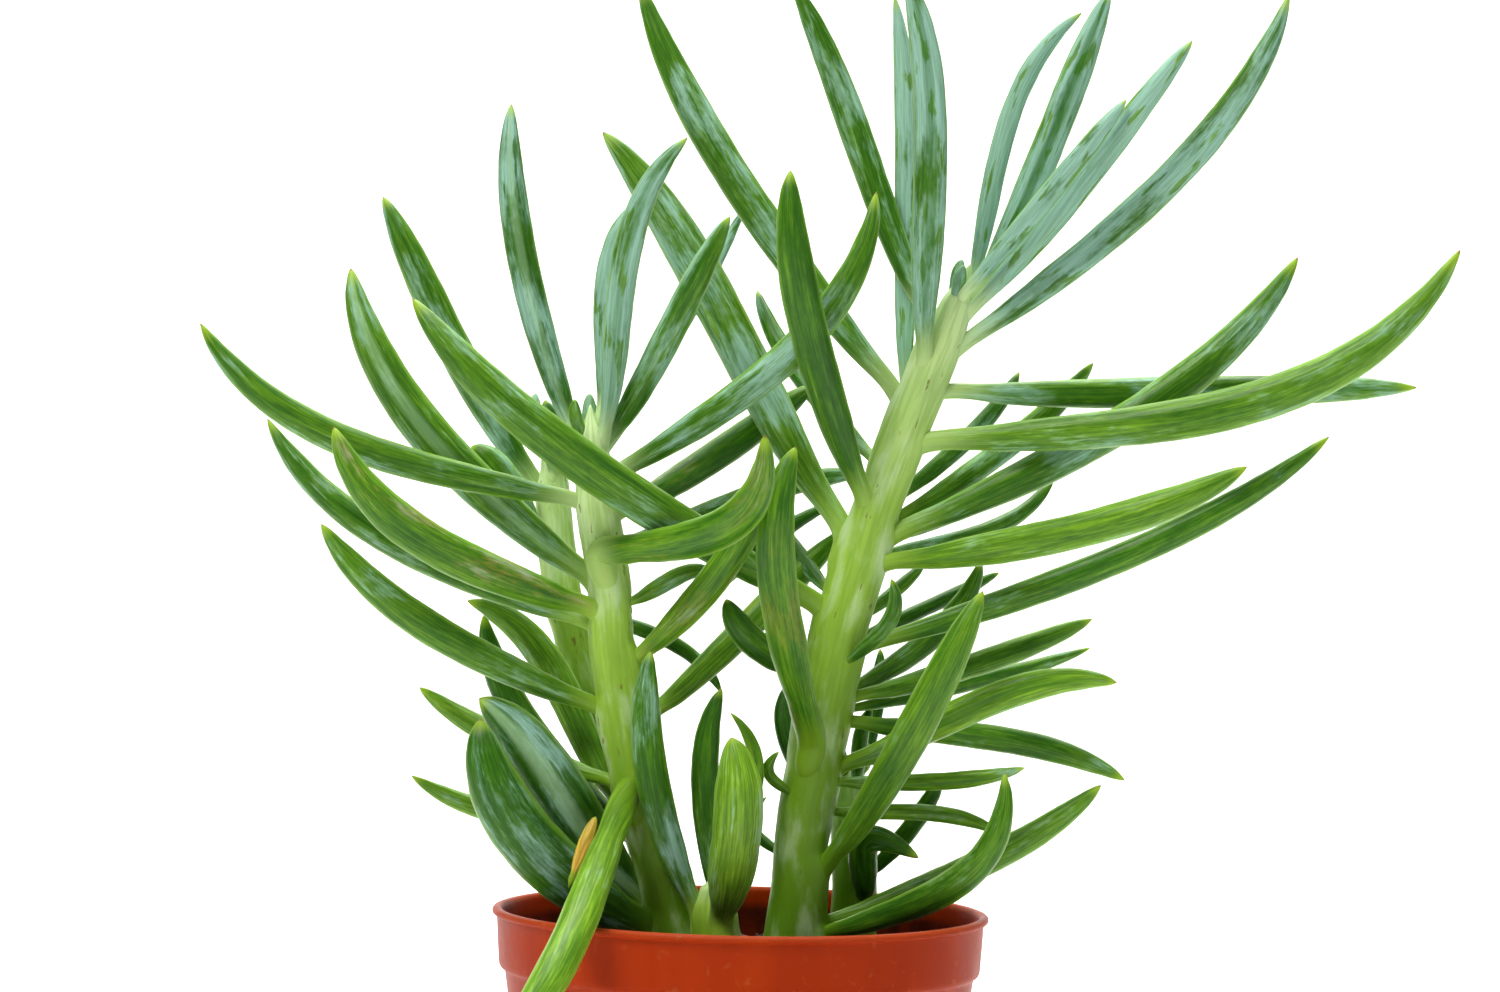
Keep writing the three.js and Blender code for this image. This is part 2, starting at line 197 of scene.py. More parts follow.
def line_of(name):
    """The middle and half width of each ring between the seat and the tip, and the tip."""
    _, *body, tip = rings_of(name)
    middles = [ring.mean(0) for ring in body]
    halves = []
    for ring, middle in zip(body, middles):
        spread = np.linalg.svd(ring - middle, full_matrices=False)[1][0]
        halves.append(spread * math.sqrt(2 / len(ring)))
    return Line(np.array(middles), np.array(halves), tip[0])


LEAVES = [n for n in NODES if "_leaf_" in n]
STEMS = [n for n in NODES if n.endswith("_stem")]
lines = {name: line_of(name) for name in LEAVES + STEMS}
print(len(LEAVES), "leaves and", len(STEMS), "stems")
print("rings each:", sorted({len(line.middles) for line in lines.values()}))

# %% [markdown]
# ## A tube along a line, with Geometry Nodes
# Leaves and stems are both fingers that follow a line, so both trees start with the same steps. A
# flat grid is laid out with one side along the line and the other round it, and every point of the
# grid asks the line where it is there, which way it runs and which way is broad. A line here is a
# string of vertices, each of which holds its share of the length, a broad direction and a radius.

# %% Start of a tree
CURVE_STEPS = 12  # points of the smooth curve between two vertices of the line
WELD = 2e-6  # metres between points that are joined at the seam and at the ends


def new_tree(name, sockets):
    tree = bpy.data.node_groups.new(name, "GeometryNodeTree")
    tree.interface.new_socket("Geometry", in_out="INPUT", socket_type="NodeSocketGeometry")
    tree.interface.new_socket("Geometry", in_out="OUTPUT", socket_type="NodeSocketGeometry")
    for label, kind in sockets:
        tree.interface.new_socket(label, in_out="INPUT", socket_type="NodeSocket" + kind)
    return tree, add(tree, "NodeGroupInput").outputs


print("a line's curve has", CURVE_STEPS, "points from vertex to vertex")


# %% Grid rolled round a curve
def rolled_grid(tree, line, ask, crowding=1.0):
    """The grid, and at each of its points what the leaf or stem needs to know there.

    A crowding over 1 sets the rings closer together towards the tip.
    """
    curve = add(tree, "GeometryNodeMeshToCurve", None, [line])
    curve = add(tree, "GeometryNodeCurveSplineType", {"spline_type": "CATMULL_ROM"}, [curve])
    curve = add(tree, "GeometryNodeSetSplineResolution", None,
                {"Geometry": curve, "Resolution": CURVE_STEPS})
    grid = add(tree, "GeometryNodeMeshGrid", None, [1.0, 1.0, ask["Along"], ask["Around"]])
    split = add(tree, SEPARATE, None, [add(tree, "GeometryNodeInputPosition")]).outputs
    left = add(tree, MATH, MINUS, [0.5, split["X"]])
    left = add(tree, MATH, POWER, [left, crowding])
    factor = add(tree, MATH, {"operation": "SUBTRACT", "use_clamp": True}, [1.0, left])
    turn = add(tree, MATH, TIMES, [split["Y"], -2 * math.pi])
    at = {"factor": factor}
    at["cosine"], at["sine"] = add(tree, MATH, COSINE, [turn]), add(tree, MATH, SINE, [turn])
    for name, kind in (("share", "FLOAT"), ("radius", "FLOAT"), ("broad", "FLOAT_VECTOR")):
        held = add(tree, "GeometryNodeInputNamedAttribute", {"data_type": kind}, [name])
        sampled = add(tree, "GeometryNodeSampleCurve", {"mode": "FACTOR", "data_type": kind},
                      {"Curves": curve, "Value": held, "Factor": factor}).outputs
        at[name] = next(s for s in sampled if s.enabled)
    at["point"], tangent = sampled["Position"], sampled["Tangent"]
    leaning = add(tree, VECTORS, {"operation": "PROJECT"}, [at["broad"], tangent])
    square = add(tree, VECTORS, MINUS, [at["broad"], leaning])
    at["broad"] = add(tree, VECTORS, {"operation": "NORMALIZE"}, [square])
    at["thin"] = add(tree, VECTORS, {"operation": "CROSS_PRODUCT"}, [tangent, at["broad"]])
    return grid, at


print("a grid can be rolled")


# %% Place the grid and end the tree
def place_grid(tree, grid, at, x, y, stored):
    """Stores attributes, moves the grid to point + broad * x + thin * y, and closes seam and ends."""
    mesh = grid
    for name, (kind, value) in stored.items():
        mesh = add(tree, "GeometryNodeStoreNamedAttribute", {"data_type": kind, "domain": "POINT"},
                   {"Geometry": mesh, "Name": name, "Value": value})
    sideways = add(tree, VECTORS, SCALED, {"Vector": at["broad"], "Scale": x})
    through = add(tree, VECTORS, SCALED, {"Vector": at["thin"], "Scale": y})
    out = add(tree, VECTORS, PLUS, [sideways, through])
    spot = add(tree, VECTORS, PLUS, [at["point"], out])
    mesh = add(tree, MOVE, None, {"Geometry": mesh, "Position": spot})
    return add(tree, "GeometryNodeMergeByDistance", None, {"Geometry": mesh, "Distance": WELD})


def slow_swell(tree, share, waves, ask):
    """A factor that drifts round 1 along the line, differently for each seed."""
    slow = add(tree, COMBINE, None, [add(tree, MATH, TIMES, [share, waves]), ask["Seed"]])
    slow = add(tree, NOISE, None, {"Vector": slow, "Scale": 1.0, "Detail": 1.0})
    slow = add(tree, MATH, MINUS, [slow, 0.5])
    return add(tree, MATH, TIMES_PLUS, [slow, ask["Unevenness"], 1.0])


def end_tree(tree, mesh, roughness, grain, material):
    """Fine unevenness of the skin, smooth shading, and a plain mesh in its material."""
    noise = add(tree, NOISE, None, {"Scale": grain, "Detail": 2.0})
    push = add(tree, MATH, TIMES_PLUS, [noise, 2 * roughness, -roughness])
    out = add(tree, VECTORS, SCALED, {"Vector": add(tree, "GeometryNodeInputNormal"), "Scale": push})
    mesh = add(tree, MOVE, None, {"Geometry": mesh, "Offset": out})
    return dressed(tree, add(tree, "GeometryNodeSetShadeSmooth", None, {"Geometry": mesh}), material)


def dressed(tree, mesh, material):
    """The end of every tree: real points in place of instances, in their material."""
    real = add(tree, REALIZE, None, [mesh])
    real = add(tree, "GeometryNodeSetMaterial", None, {"Geometry": real, "Material": material})
    add(tree, "NodeGroupOutput", None, [real])
    return tree


print("seams closer than", WELD / MM, "mm are welded")


# %% Run a tree on an object
def string_object(name, line):
    """A string of vertices joined by edges, with an array of numbers for each attribute.

    The line itself has a ridge of 0. A short edge beside it runs from a ridge of 1 to one of 2.
    """
    edges = [(i - 1, i) for kind in (0, 2) for i, ridge in enumerate(line["ridge"]) if i and ridge == kind]
    made = mesh_object(name, line["points"], edges=edges)
    for label in ("share", "radius", "broad", "ridge"):
        numbers = np.array(line[label], dtype=np.float32)
        kind, slot = ("FLOAT_VECTOR", "vector") if numbers.ndim == 2 else ("FLOAT", "value")
        made.data.attributes.new(label, kind, "POINT").data.foreach_set(slot, numbers.ravel())
    return made


def grown(made, tree, values):
    """Runs a tree on an object, with the named values, and keeps the result as a plain mesh."""
    modifier = made.modifiers.new("grow", "NODES")
    modifier.node_group = tree
    for item in tree.interface.items_tree:
        if item.in_out == "INPUT" and item.name in values:
            modifier[item.identifier] = values[item.name]
    seen = made.evaluated_get(bpy.context.evaluated_depsgraph_get())
    mesh = bpy.data.meshes.new_from_object(seen)
    made.modifiers.remove(modifier)
    old, made.data = made.data, mesh
    bpy.data.meshes.remove(old)
    mesh.name = made.name
    return made


print("tree helpers ready")

# %% [markdown]
# ## The leaf
# A chalk stick's leaf is a long finger, a little flatter than round: narrow where it leaves the
# stem, broadest at its middle, and drawn to a small hard point. It could be sculpted leaf by
# leaf, but its shape follows a rule, so one tree makes them all. It gives the rolled grid an outline
# drawn as a curve, a shallow channel down both broad faces and a slow unevenness. It also stores
# where every point lies on the leaf, in millimetres along and across, for the skin to read.

# %% The leaf tree
# The half width along the leaf: share of the length, share of the greatest half width.
OUTLINE = [(0, 0.46), (0.06, 0.52), (0.18, 0.76), (0.32, 0.94), (0.52, 1), (0.68, 0.96), (0.82, 0.79),
           (0.92, 0.52), (0.975, 0.25), (1, 0)]
FOOT_SHARE = 0.12  # the foot runs this share of the length down into the stem
SWELLS, CHANNEL_SHARPNESS, SEED_STEP = 5.0, 9.0, 37.0
LEAF_ROUGHNESS, LEAF_GRAIN = 0.12 * MM, 240.0  # waves a metre: one in 4 mm
LEAF_ALONG, LEAF_AROUND, LEAF_FLATNESS = 112, 34, 0.8


def leaf_half_width(tree, ask, at, share):
    """Outline, a foot drawn to a point inside the stem, and a slow swell."""
    outline = add(tree, "ShaderNodeFloatCurve", None, {"Value": share})
    points = outline.mapping.curves[0].points
    points[0].location, points[1].location = OUTLINE[0], OUTLINE[-1]
    for x, y in OUTLINE[1:-1]:
        points.new(x, y)
    outline.mapping.update()
    base = add(tree, MAP, SMOOTH, [share, 0.7, 0.1])
    base = add(tree, MATH, TIMES, [base, ask["Foot width"]])
    outline = add(tree, MATH, {"operation": "MAXIMUM"}, [outline, base])
    half = add(tree, MATH, TIMES, [outline, ask["Half width"]])
    closing = add(tree, MAP, {"interpolation_type": "SMOOTHERSTEP"},
                  [at["share"], -FOOT_SHARE, -0.2 * FOOT_SHARE, 0.0, 1.0])
    for factor in (slow_swell(tree, share, SWELLS, ask), closing):
        half = add(tree, MATH, TIMES, [half, factor])
    return half


def leaf_channel(tree, ask, at, share):
    """One less the dip down the middle of each broad face, deepest half way along."""
    squared = add(tree, MATH, TIMES, [at["cosine"], at["cosine"]])
    bell = add(tree, MATH, EXPONENT, [add(tree, MATH, TIMES, [squared, -CHANNEL_SHARPNESS])])
    arch = add(tree, MATH, SINE, [add(tree, MATH, TIMES, [share, math.pi])])
    dip = add(tree, MATH, TIMES, [bell, arch])
    dip = add(tree, MATH, TIMES, [dip, ask["Channel"]])
    return add(tree, MATH, MINUS, [1.0, dip])


def leaf_flow(tree, ask, at):
    """Where a point is, in millimetres across, through and along; each seed starts further on."""
    wide = add(tree, MATH, TIMES, [ask["Half width"], 1 / MM])
    across = add(tree, MATH, TIMES, [at["cosine"], wide])
    through = add(tree, MATH, TIMES, [at["sine"], wide])
    along = add(tree, MATH, TIMES, [at["share"], ask["Length"]])
    along = add(tree, MATH, TIMES_PLUS, [ask["Seed"], SEED_STEP, along])
    return add(tree, COMBINE, None, [across, through, along])


print("leaf outline:", len(OUTLINE), "points, and a foot of", FOOT_SHARE, "of the length")


# %% Join the parts of the leaf tree
def make_leaf_tree():
    tree, ask = new_tree("fleshy leaf", [
        ("Half width", "Float"), ("Flatness", "Float"), ("Channel", "Float"), ("Unevenness", "Float"),
        ("Seed", "Float"), ("Look", "Vector"), ("Blush", "Float"), ("Length", "Float"),
        ("Foot width", "Float"), ("Seat share", "Float"), ("Along", "Int"), ("Around", "Int"),
        ("Skin", "Material")])
    grid, at = rolled_grid(tree, ask["Geometry"], ask, crowding=1.4)
    share = add(tree, "ShaderNodeClamp", None, [at["share"], 0.0, 1.0])
    half = leaf_half_width(tree, ask, at, share)
    x = add(tree, MATH, TIMES, [at["cosine"], half])
    y = add(tree, MATH, TIMES, [at["sine"], half])
    for factor in (ask["Flatness"], leaf_channel(tree, ask, at, share)):
        y = add(tree, MATH, TIMES, [y, factor])
    skin = add(tree, COMBINE, None, [at["cosine"], at["sine"], at["share"]])
    mesh = place_grid(tree, grid, at, x, y, {
        "skin": ("FLOAT_VECTOR", skin), "flow": ("FLOAT_VECTOR", leaf_flow(tree, ask, at)),
        "look": ("FLOAT_VECTOR", ask["Look"]), "blush": ("FLOAT", ask["Blush"]),
        "seat": ("FLOAT", ask["Seat share"])})
    return end_tree(tree, mesh, LEAF_ROUGHNESS, LEAF_GRAIN, ask["Skin"])


leaf_tree = make_leaf_tree()
print("leaf tree:", len(leaf_tree.nodes), "nodes,", len(leaf_tree.links), "links")

# %% [markdown]
# ## The leaf's skin
# The skin is a smooth, waxy cuticle over bright green flesh. Its farina, a bluish white bloom of
# wax, is thick on young leaves and rubbed off in patches and streaks on old ones. Faint veins run
# the whole length, about 0.4 mm apart. The foot of the leaf takes the colour of the stem beside
# it, its margins are a clearer green, and its tip is yellowish with a brown point.
# All of it is drawn in the leaf's own millimetres, so the veins bend with the leaf.

# %% New material
def new_material(name):
    made = bpy.data.materials.new(name)
    made.use_nodes = True
    made.node_tree.nodes.clear()
    return made, made.node_tree


# %% Tones, layers and patterns
def painted(ramp, tones):
    """Sets a colour ramp from a list of places and hex colours, and gives its colour."""
    for place, _ in tones[1:-1]:
        ramp.color_ramp.elements.new(place)
    for element, (place, colour) in zip(ramp.color_ramp.elements, tones):
        element.position, element.color = place, linear(colour)
    return ramp.outputs["Color"]


def layered(tree, colour, layers):
    """Each layer, a hex colour or a socket, is laid over the last by its factor."""
    for factor, layer in layers:
        layer = linear(layer) if isinstance(layer, str) else layer
        colour = add(tree, MIX, COLOURS, [factor, colour, layer])
    return colour


def along_flow(tree, flow, table):
    """A noise for each row: waves a millimetre across, waves a millimetre along, detail."""
    for across, along, detail in table:
        stretched = add(tree, "ShaderNodeMapping", None, {"Vector": flow, "Scale": (across, across, along)})
        yield add(tree, NOISE, None, {"Vector": stretched, "Scale": 1.0, "Detail": detail})


def summed(tree, total, noises):
    """Noises added to a number, each times its weight."""
    for noise, weight in noises:
        total = add(tree, MATH, TIMES_PLUS, [noise, weight, total])
    return total


def finish_material(tree, patterns, constants):
    shader = add(tree, "ShaderNodeBsdfPrincipled", None, constants | patterns)
    add(tree, "ShaderNodeOutputMaterial", None, [shader])


print("material helpers ready")

# %% Bloom and stripe of a leaf
GREENS = [(0.0, "#1B400C"), (0.35, "#3A6C12"), (0.65, "#64921F"), (1.0, "#92BE30")]
STEM_TONES = [(0.0, "#5E8A10"), (0.3, "#769E1E"), (0.62, "#97BC46"), (1.0, "#C9E0A8")]
STRAWS = [(0.0, "#8A6018"), (0.35, "#C09428"), (0.65, "#DDB84A"), (1.0, "#EBD480")]
# Patterns of the skin: waves a millimetre across, waves a millimetre along, detail.
VEINS, STREAKS, PATCHES = (2.6, 0.11, 4), (0.55, 0.05, 4), (0.14, 0.06, 5)
RUBS, MOTTLE = (0.5, 0.11, 5), (1.6, 0.45, 5)


def wax_on_leaf(tree, bloom, noises, bare):
    """How thick the bloom lies: by patches, and worn thin at the edge, on rub marks and on veins."""
    _, streaks, patches, _, mottle = noises
    wax = add(tree, MATH, MINUS, [bloom, 1.6])
    wax = summed(tree, wax, ((patches, 1.9), (streaks, 0.8), (mottle, 0.5)))
    wax = add(tree, MAP, SMOOTH, [wax, 0.3, 0.85, 0.0, 0.85])
    for worn, most in bare:
        keep = add(tree, MATH, TIMES_PLUS, [worn, -most, 1.0])
        wax = add(tree, MATH, TIMES, [wax, keep])
    return wax


def leaf_stripe(tree, side, sine, stripe):
    """Factors for a bright and a dark stripe down the front face, for a stripe above and below 0."""
    middle = add(tree, MAP, SMOOTH, [side, 0.42, 0.12])
    front = add(tree, MAP, SMOOTH, [sine, 0.0, -0.4])
    middle = add(tree, MATH, TIMES, [middle, front])
    deep = add(tree, MATH, TIMES, [stripe, -1.0])
    return [add(tree, MATH, CLAMPED_TIMES, [middle, much]) for much in (stripe, deep)]


print("veins are", round(1 / VEINS[0], 1), "mm apart")


# %% Waxy leaf skin
def make_leaf_skin(name, greens, wax_colour):
    made, tree = new_material(name)
    flow, skin, look = (add(tree, ATTRIBUTE, {"attribute_name": n}).outputs["Vector"]
                        for n in ("flow", "skin", "look"))
    blush, seat = (add(tree, ATTRIBUTE, {"attribute_name": n}).outputs["Fac"] for n in ("blush", "seat"))
    cosine, sine, share = add(tree, SEPARATE, None, [skin]).outputs
    bloom, tone, stripe = add(tree, SEPARATE, None, [look]).outputs
    noises = list(along_flow(tree, flow, (VEINS, STREAKS, PATCHES, RUBS, MOTTLE)))
    veins, streaks, patches, rubs, mottle = noises
    side = add(tree, MATH, {"operation": "ABSOLUTE"}, [cosine])
    edge = add(tree, MAP, SMOOTH, [side, 0.8, 1.0])
    vein = add(tree, MAP, SMOOTH, [veins, 0.6, 0.42])
    rub = add(tree, MAP, SMOOTH, [rubs, 0.57, 0.64])
    wax = wax_on_leaf(tree, bloom, noises, ((rub, 0.85), (edge, 0.7), (vein, 0.3)))
    # The green under the wax, from deep to bright, and the colours that lie over it.
    depth = add(tree, MATH, TIMES_PLUS, [tone, 0.4, -0.38])
    depth = summed(tree, depth, ((streaks, 0.8), (patches, 0.5), (mottle, 0.35), (veins, 0.2)))
    bright, deep = leaf_stripe(tree, side, sine, stripe)
    stem_colour = painted(add(tree, RAMP, None, [seat]), STEM_TONES)
    foot = add(tree, MAP, SMOOTH, [share, 0.15, -0.02, 0.0, 0.9])
    tip = add(tree, MAP, SMOOTH, [share, 0.94, 0.995, 0.0, 0.75])
    point = add(tree, MAP, SMOOTH, [share, 0.99, 0.996, 0.0, 0.9])
    warm = add(tree, MAP, SMOOTH, [add(tree, MATH, TIMES_PLUS, [mottle, 0.35, patches]), 0.74, 0.86])
    warm = add(tree, MATH, TIMES, [warm, blush])
    speck = add(tree, MAP, SMOOTH, [mottle, 0.72, 0.76, 0.0, 0.6])
    vein = add(tree, MATH, TIMES, [vein, 0.4])
    edge = add(tree, MATH, TIMES, [edge, 0.4])
    colour = layered(tree, painted(add(tree, RAMP, None, [depth]), greens), (
        (vein, "#16400F"), (edge, "#8DBB3C"), (wax, wax_colour), (deep, "#2C6410"), (bright, "#A6CF9C"),
        (foot, stem_colour), (warm, "#B4642A"), (speck, "#7B5A30"), (tip, "#98B830"), (point, "#80602E")))
    rough = add(tree, MATH, TIMES_PLUS, [wax, 0.28, 0.36])
    height = add(tree, MATH, TIMES_PLUS, [rubs, 0.5, veins])
    bump = add(tree, BUMP, None, {"Strength": 0.3, "Distance": 0.2 * MM, "Height": height})
    finish_material(tree, {"Base Color": colour, "Roughness": rough, "Normal": bump}, {
        "IOR": 1.42, "Specular IOR Level": 0.25, "Subsurface Weight": 0.1, "Subsurface Scale": 0.0015,
        "Subsurface Radius": (0.6, 1.0, 0.25)})
    return made


leaf_skin = make_leaf_skin("waxy leaf skin", GREENS, "#93BDB2")
withered_skin = make_leaf_skin("withered leaf skin", STRAWS, "#C9B48A")
print("leaf skin:", len(leaf_skin.node_tree.nodes), "nodes")

# %% [markdown]
# ## Growing the leaves
# No two leaves of the plant look alike. The table gives each one how much bloom it carries, how
# bright its green is, and, where they show, a stripe down its middle and a warm blush.

# %% How each leaf looks: bloom, tone, stripe, blush
LOOKS = {
    "left": [
        (.6, -.6), (.65, -.6, .5), (.1, .1), (.05, -.5), (.1, .1), (0, .35), (.1, .3), (.05, .1, 0, .1),
        (.25, -.2), (.1, 0, 0, .1), (.2, -.1, 0, .2), (.3, -.4, 0, .05), (.4, -.1, .3),
        (.05, -.15, 0, .08), (.1, -.4, 0, .1), (.3, -.2), (.45, -.1), (.6, -.1), (.5, -.6, .25),
        (.8, .1, -.4), (.7, 0)],
    "back": [(.6, 0), (.45, -.3)],
    "centre": [(.62, .6), (.8, -.3), (.1, -.5)],
    "right": [
        (.45, -.2), (.45, .1), (.25, 0), (.45, .5, -.4), (0, -.2, 0, .1), (.1, -.3), (.2, -.1),
        (.2, -.2), (.1, -.5), (.15, -.3), (.3, -.2), (.2, .2), (.6, .2), (.35, -.2), (.3, -.1),
        (.1, -.4), (.3, .1), (.4, -.2), (.45, 0, -.4), (.55, -.2, -.5), (.9, .2), (.6, -.2),
        (.38, -.35), (.98, .2), (.9, 0), (.9, 0), (.75, -.1, -.7)],
}
OLD_BELOW, YOUNG_OVER = 120, 90  # mm: leaves are old below the one, and young that much higher up


def look_of(name):
    """The leaf's row, with the bloom worn thin on the old leaves low on the plant."""
    stem, number = name.split("_leaf_")
    bloom, *others = (LOOKS[stem][int(number) - 1] + (0, 0))[:4]
    young = min(1.0, max(0.0, (lines[name].middles[0][2] / MM - OLD_BELOW) / YOUNG_OVER))
    return (bloom * (0.6 + 0.55 * young), *others)


print("looks for", sum(len(rows) for rows in LOOKS.values()), "leaves")


# %% Lay a leaf's line
RINGS = 9
SHARES = [(i / RINGS) ** 0.9 * 1.02 for i in range(RINGS)]  # a little closer together towards the tip
FOOT_SHARES = [-FOOT_SHARE, -0.5 * FOOT_SHARE]
FOOT_POINTS = ((1.0, 0.78), (0.5, 0.95))  # shares of the foot's drop and of the stem's radius


def stem_at(stem, z):
    """The middle and radius of a stem at a height."""
    middles, radii, _ = lines[stem]
    middle = np.array([np.interp(z, middles[:, 2], middles[:, i]) for i in range(3)])
    return middle, np.interp(z, middles[:, 2], radii)


def leaf_line(stem, seat_z, middles, tip, drop):
    """The line that a leaf's tree needs. Its foot runs down the stem and sinks into it."""
    middle, thick = stem_at(stem, seat_z)
    out = (middles[0] - middle) / np.linalg.norm(middles[0] - middle)
    foot = []
    for down, depth in FOOT_POINTS:
        foot_z = seat_z - down * drop
        low, thin = stem_at(stem, foot_z)
        foot.append(low + out * thin * depth - (0, 0, max(0.0, lines[stem].middles[0][2] - foot_z)))
    points = np.vstack([foot, middles, tip])
    broads = np.cross((0, 1, 0), np.gradient(points, axis=0))
    broads /= np.linalg.norm(broads, axis=1)[:, None]
    steps = np.linalg.norm(np.diff(points[2:], axis=0), axis=1)
    line = {"points": points, "share": FOOT_SHARES + SHARES + [1.0],
            "radius": np.ones(len(points)), "broad": broads, "ridge": np.zeros(len(points))}
    return line, steps.sum()


print("ring shares:", [round(share, 2) for share in SHARES])

# %% [markdown]
# Each leaf takes its greatest half width from the rings, and its foot runs a few half widths down
# the stem. Three leaves clasp their stem more broadly than the rest, and one at the top is slimmer.

# %% Grow a leaf along the line of its CAD node
FOOT_DROP = 3.3  # half widths
FOOT_WIDTHS = {"left_leaf_06_skin": 0.8, "left_leaf_14_skin": 0.8, "right_leaf_05_skin": 0.75}
USUAL_FOOT = 0.5
LEAF_WIDTHS = {"right_leaf_25": 0.8}
USUAL_WIDTH = 1.01


def grow_leaf(name, stem, line, length, half, seed, look, along=LEAF_ALONG, around=LEAF_AROUND, skin=None):
    bloom, tone, stripe, blush = look
    low, high = lines[stem].middles[0][2], lines[stem].tip[2]
    return grown(string_object(name, line), leaf_tree, {
        "Half width": float(half), "Flatness": LEAF_FLATNESS, "Channel": 0.04 + 0.3 * abs(stripe),
        "Unevenness": 0.14, "Seed": float(seed), "Look": (bloom, tone, stripe), "Blush": float(blush),
        "Foot width": FOOT_WIDTHS.get(name, USUAL_FOOT),
        "Seat share": float((line["points"][2][2] - low) / (high - low)),
        "Length": float(length / MM), "Along": along, "Around": around, "Skin": skin or leaf_skin})


for index, name in enumerate(LEAVES):
    middles, halves, tip = lines[name]
    stem = name.split("_leaf_")[0] + "_stem"
    line, length = leaf_line(stem, middles[0][2], middles, tip, FOOT_DROP * halves.max())
    wide = halves.max() * LEAF_WIDTHS.get(name, USUAL_WIDTH)
    piece = grow_leaf(name + "_skin", stem, line, length, wide, 1.7 * index, look_of(name))
    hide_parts(name)
    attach(piece, "root")
print(len(LEAVES), "leaves grown, the last with", len(piece.data.polygons), "faces")

# %% [markdown]
# ## The stems
# A chalk stick's stem is a soft green rod, thick at the soil and slimmer at the top. It isn't plain
# round: below each leaf the stem swells into a low ridge that runs down from the leaf's foot. The
# tree gets the stem's line and, beside it, a short sloping edge under every leaf. The skin is
# pushed out where it is close to such an edge, and the edge sinks into the stem as it goes down, so
# the swelling dies away by itself.

# %% The stem tree
STEM_SWELLS = 7.0
STEM_ROUGHNESS, STEM_GRAIN = 0.14 * MM, 170.0  # waves a metre: one in 6 mm


def make_stem_tree():
    tree, ask = new_tree("fleshy stem", [
        ("Swelling", "Float"), ("Reach", "Float"), ("Unevenness", "Float"), ("Seed", "Float"),
        ("Length", "Float"), ("Along", "Int"), ("Around", "Int"), ("Skin", "Material")])
    ridge = add(tree, "GeometryNodeInputNamedAttribute", {"data_type": "FLOAT"}, ["ridge"])
    beside = add(tree, "FunctionNodeCompare", {"operation": "GREATER_THAN"}, [ridge, 0.5])
    parts = add(tree, "GeometryNodeSeparateGeometry", {"domain": "POINT"}, [ask["Geometry"], beside])
    parts = parts.outputs
    grid, at = rolled_grid(tree, parts["Inverted"], ask)
    foot = add(tree, MAP, None, [at["factor"], 0.0, 0.002, 0.0, 1.0])
    top = add(tree, MAP, None, [at["factor"], 1.0, 0.9, 0.0, 1.0])
    top = add(tree, MATH, POWER, [top, 0.7])
    radius = slow_swell(tree, at["share"], STEM_SWELLS, ask)
    for factor in (at["radius"], foot, top):
        radius = add(tree, MATH, TIMES, [radius, factor])
    x = add(tree, MATH, TIMES, [at["cosine"], radius])
    y = add(tree, MATH, TIMES, [at["sine"], radius])
    skin = add(tree, COMBINE, None, [at["cosine"], at["sine"], at["share"]])
    thick = add(tree, MATH, TIMES, [at["radius"], 1 / MM])
    across = add(tree, MATH, TIMES, [at["cosine"], thick])
    through = add(tree, MATH, TIMES, [at["sine"], thick])
    along = add(tree, MATH, TIMES_PLUS, [at["share"], ask["Length"], ask["Seed"]])
    flow = add(tree, COMBINE, None, [across, through, along])
    mesh = place_grid(tree, grid, at, x, y, {
        "skin": ("FLOAT_VECTOR", skin), "flow": ("FLOAT_VECTOR", flow)})
    near = add(tree, "GeometryNodeProximity", {"target_element": "EDGES"}, [parts["Selection"]])
    near = add(tree, MATH, DIVIDE, [near.outputs["Distance"], ask["Reach"]])
    near = add(tree, MATH, TIMES, [near, near])
    near = add(tree, MATH, EXPONENT, [add(tree, MATH, TIMES, [near, -1.0])])
    near = add(tree, MATH, TIMES, [near, ask["Swelling"]])
    out = add(tree, VECTORS, SCALED, {"Vector": add(tree, "GeometryNodeInputNormal"), "Scale": near})
    mesh = add(tree, MOVE, None, {"Geometry": mesh, "Offset": out})
    return end_tree(tree, mesh, STEM_ROUGHNESS, STEM_GRAIN, ask["Skin"])


stem_tree = make_stem_tree()
print("stem tree:", len(stem_tree.nodes), "nodes")

# %% [markdown]
# The stem's skin is the same waxy cuticle over paler flesh: a full green at the soil, yellow-green
# half way up, and whitish with bloom at the top. It has faint lengthwise lines and a few small
# corky brown cracks.

# %% Waxy stem skin
FINE_LINES, CLOUDS, CRACKS = (1.4, 0.08, 4), (0.2, 0.06, 5), (0.9, 0.22, 4)


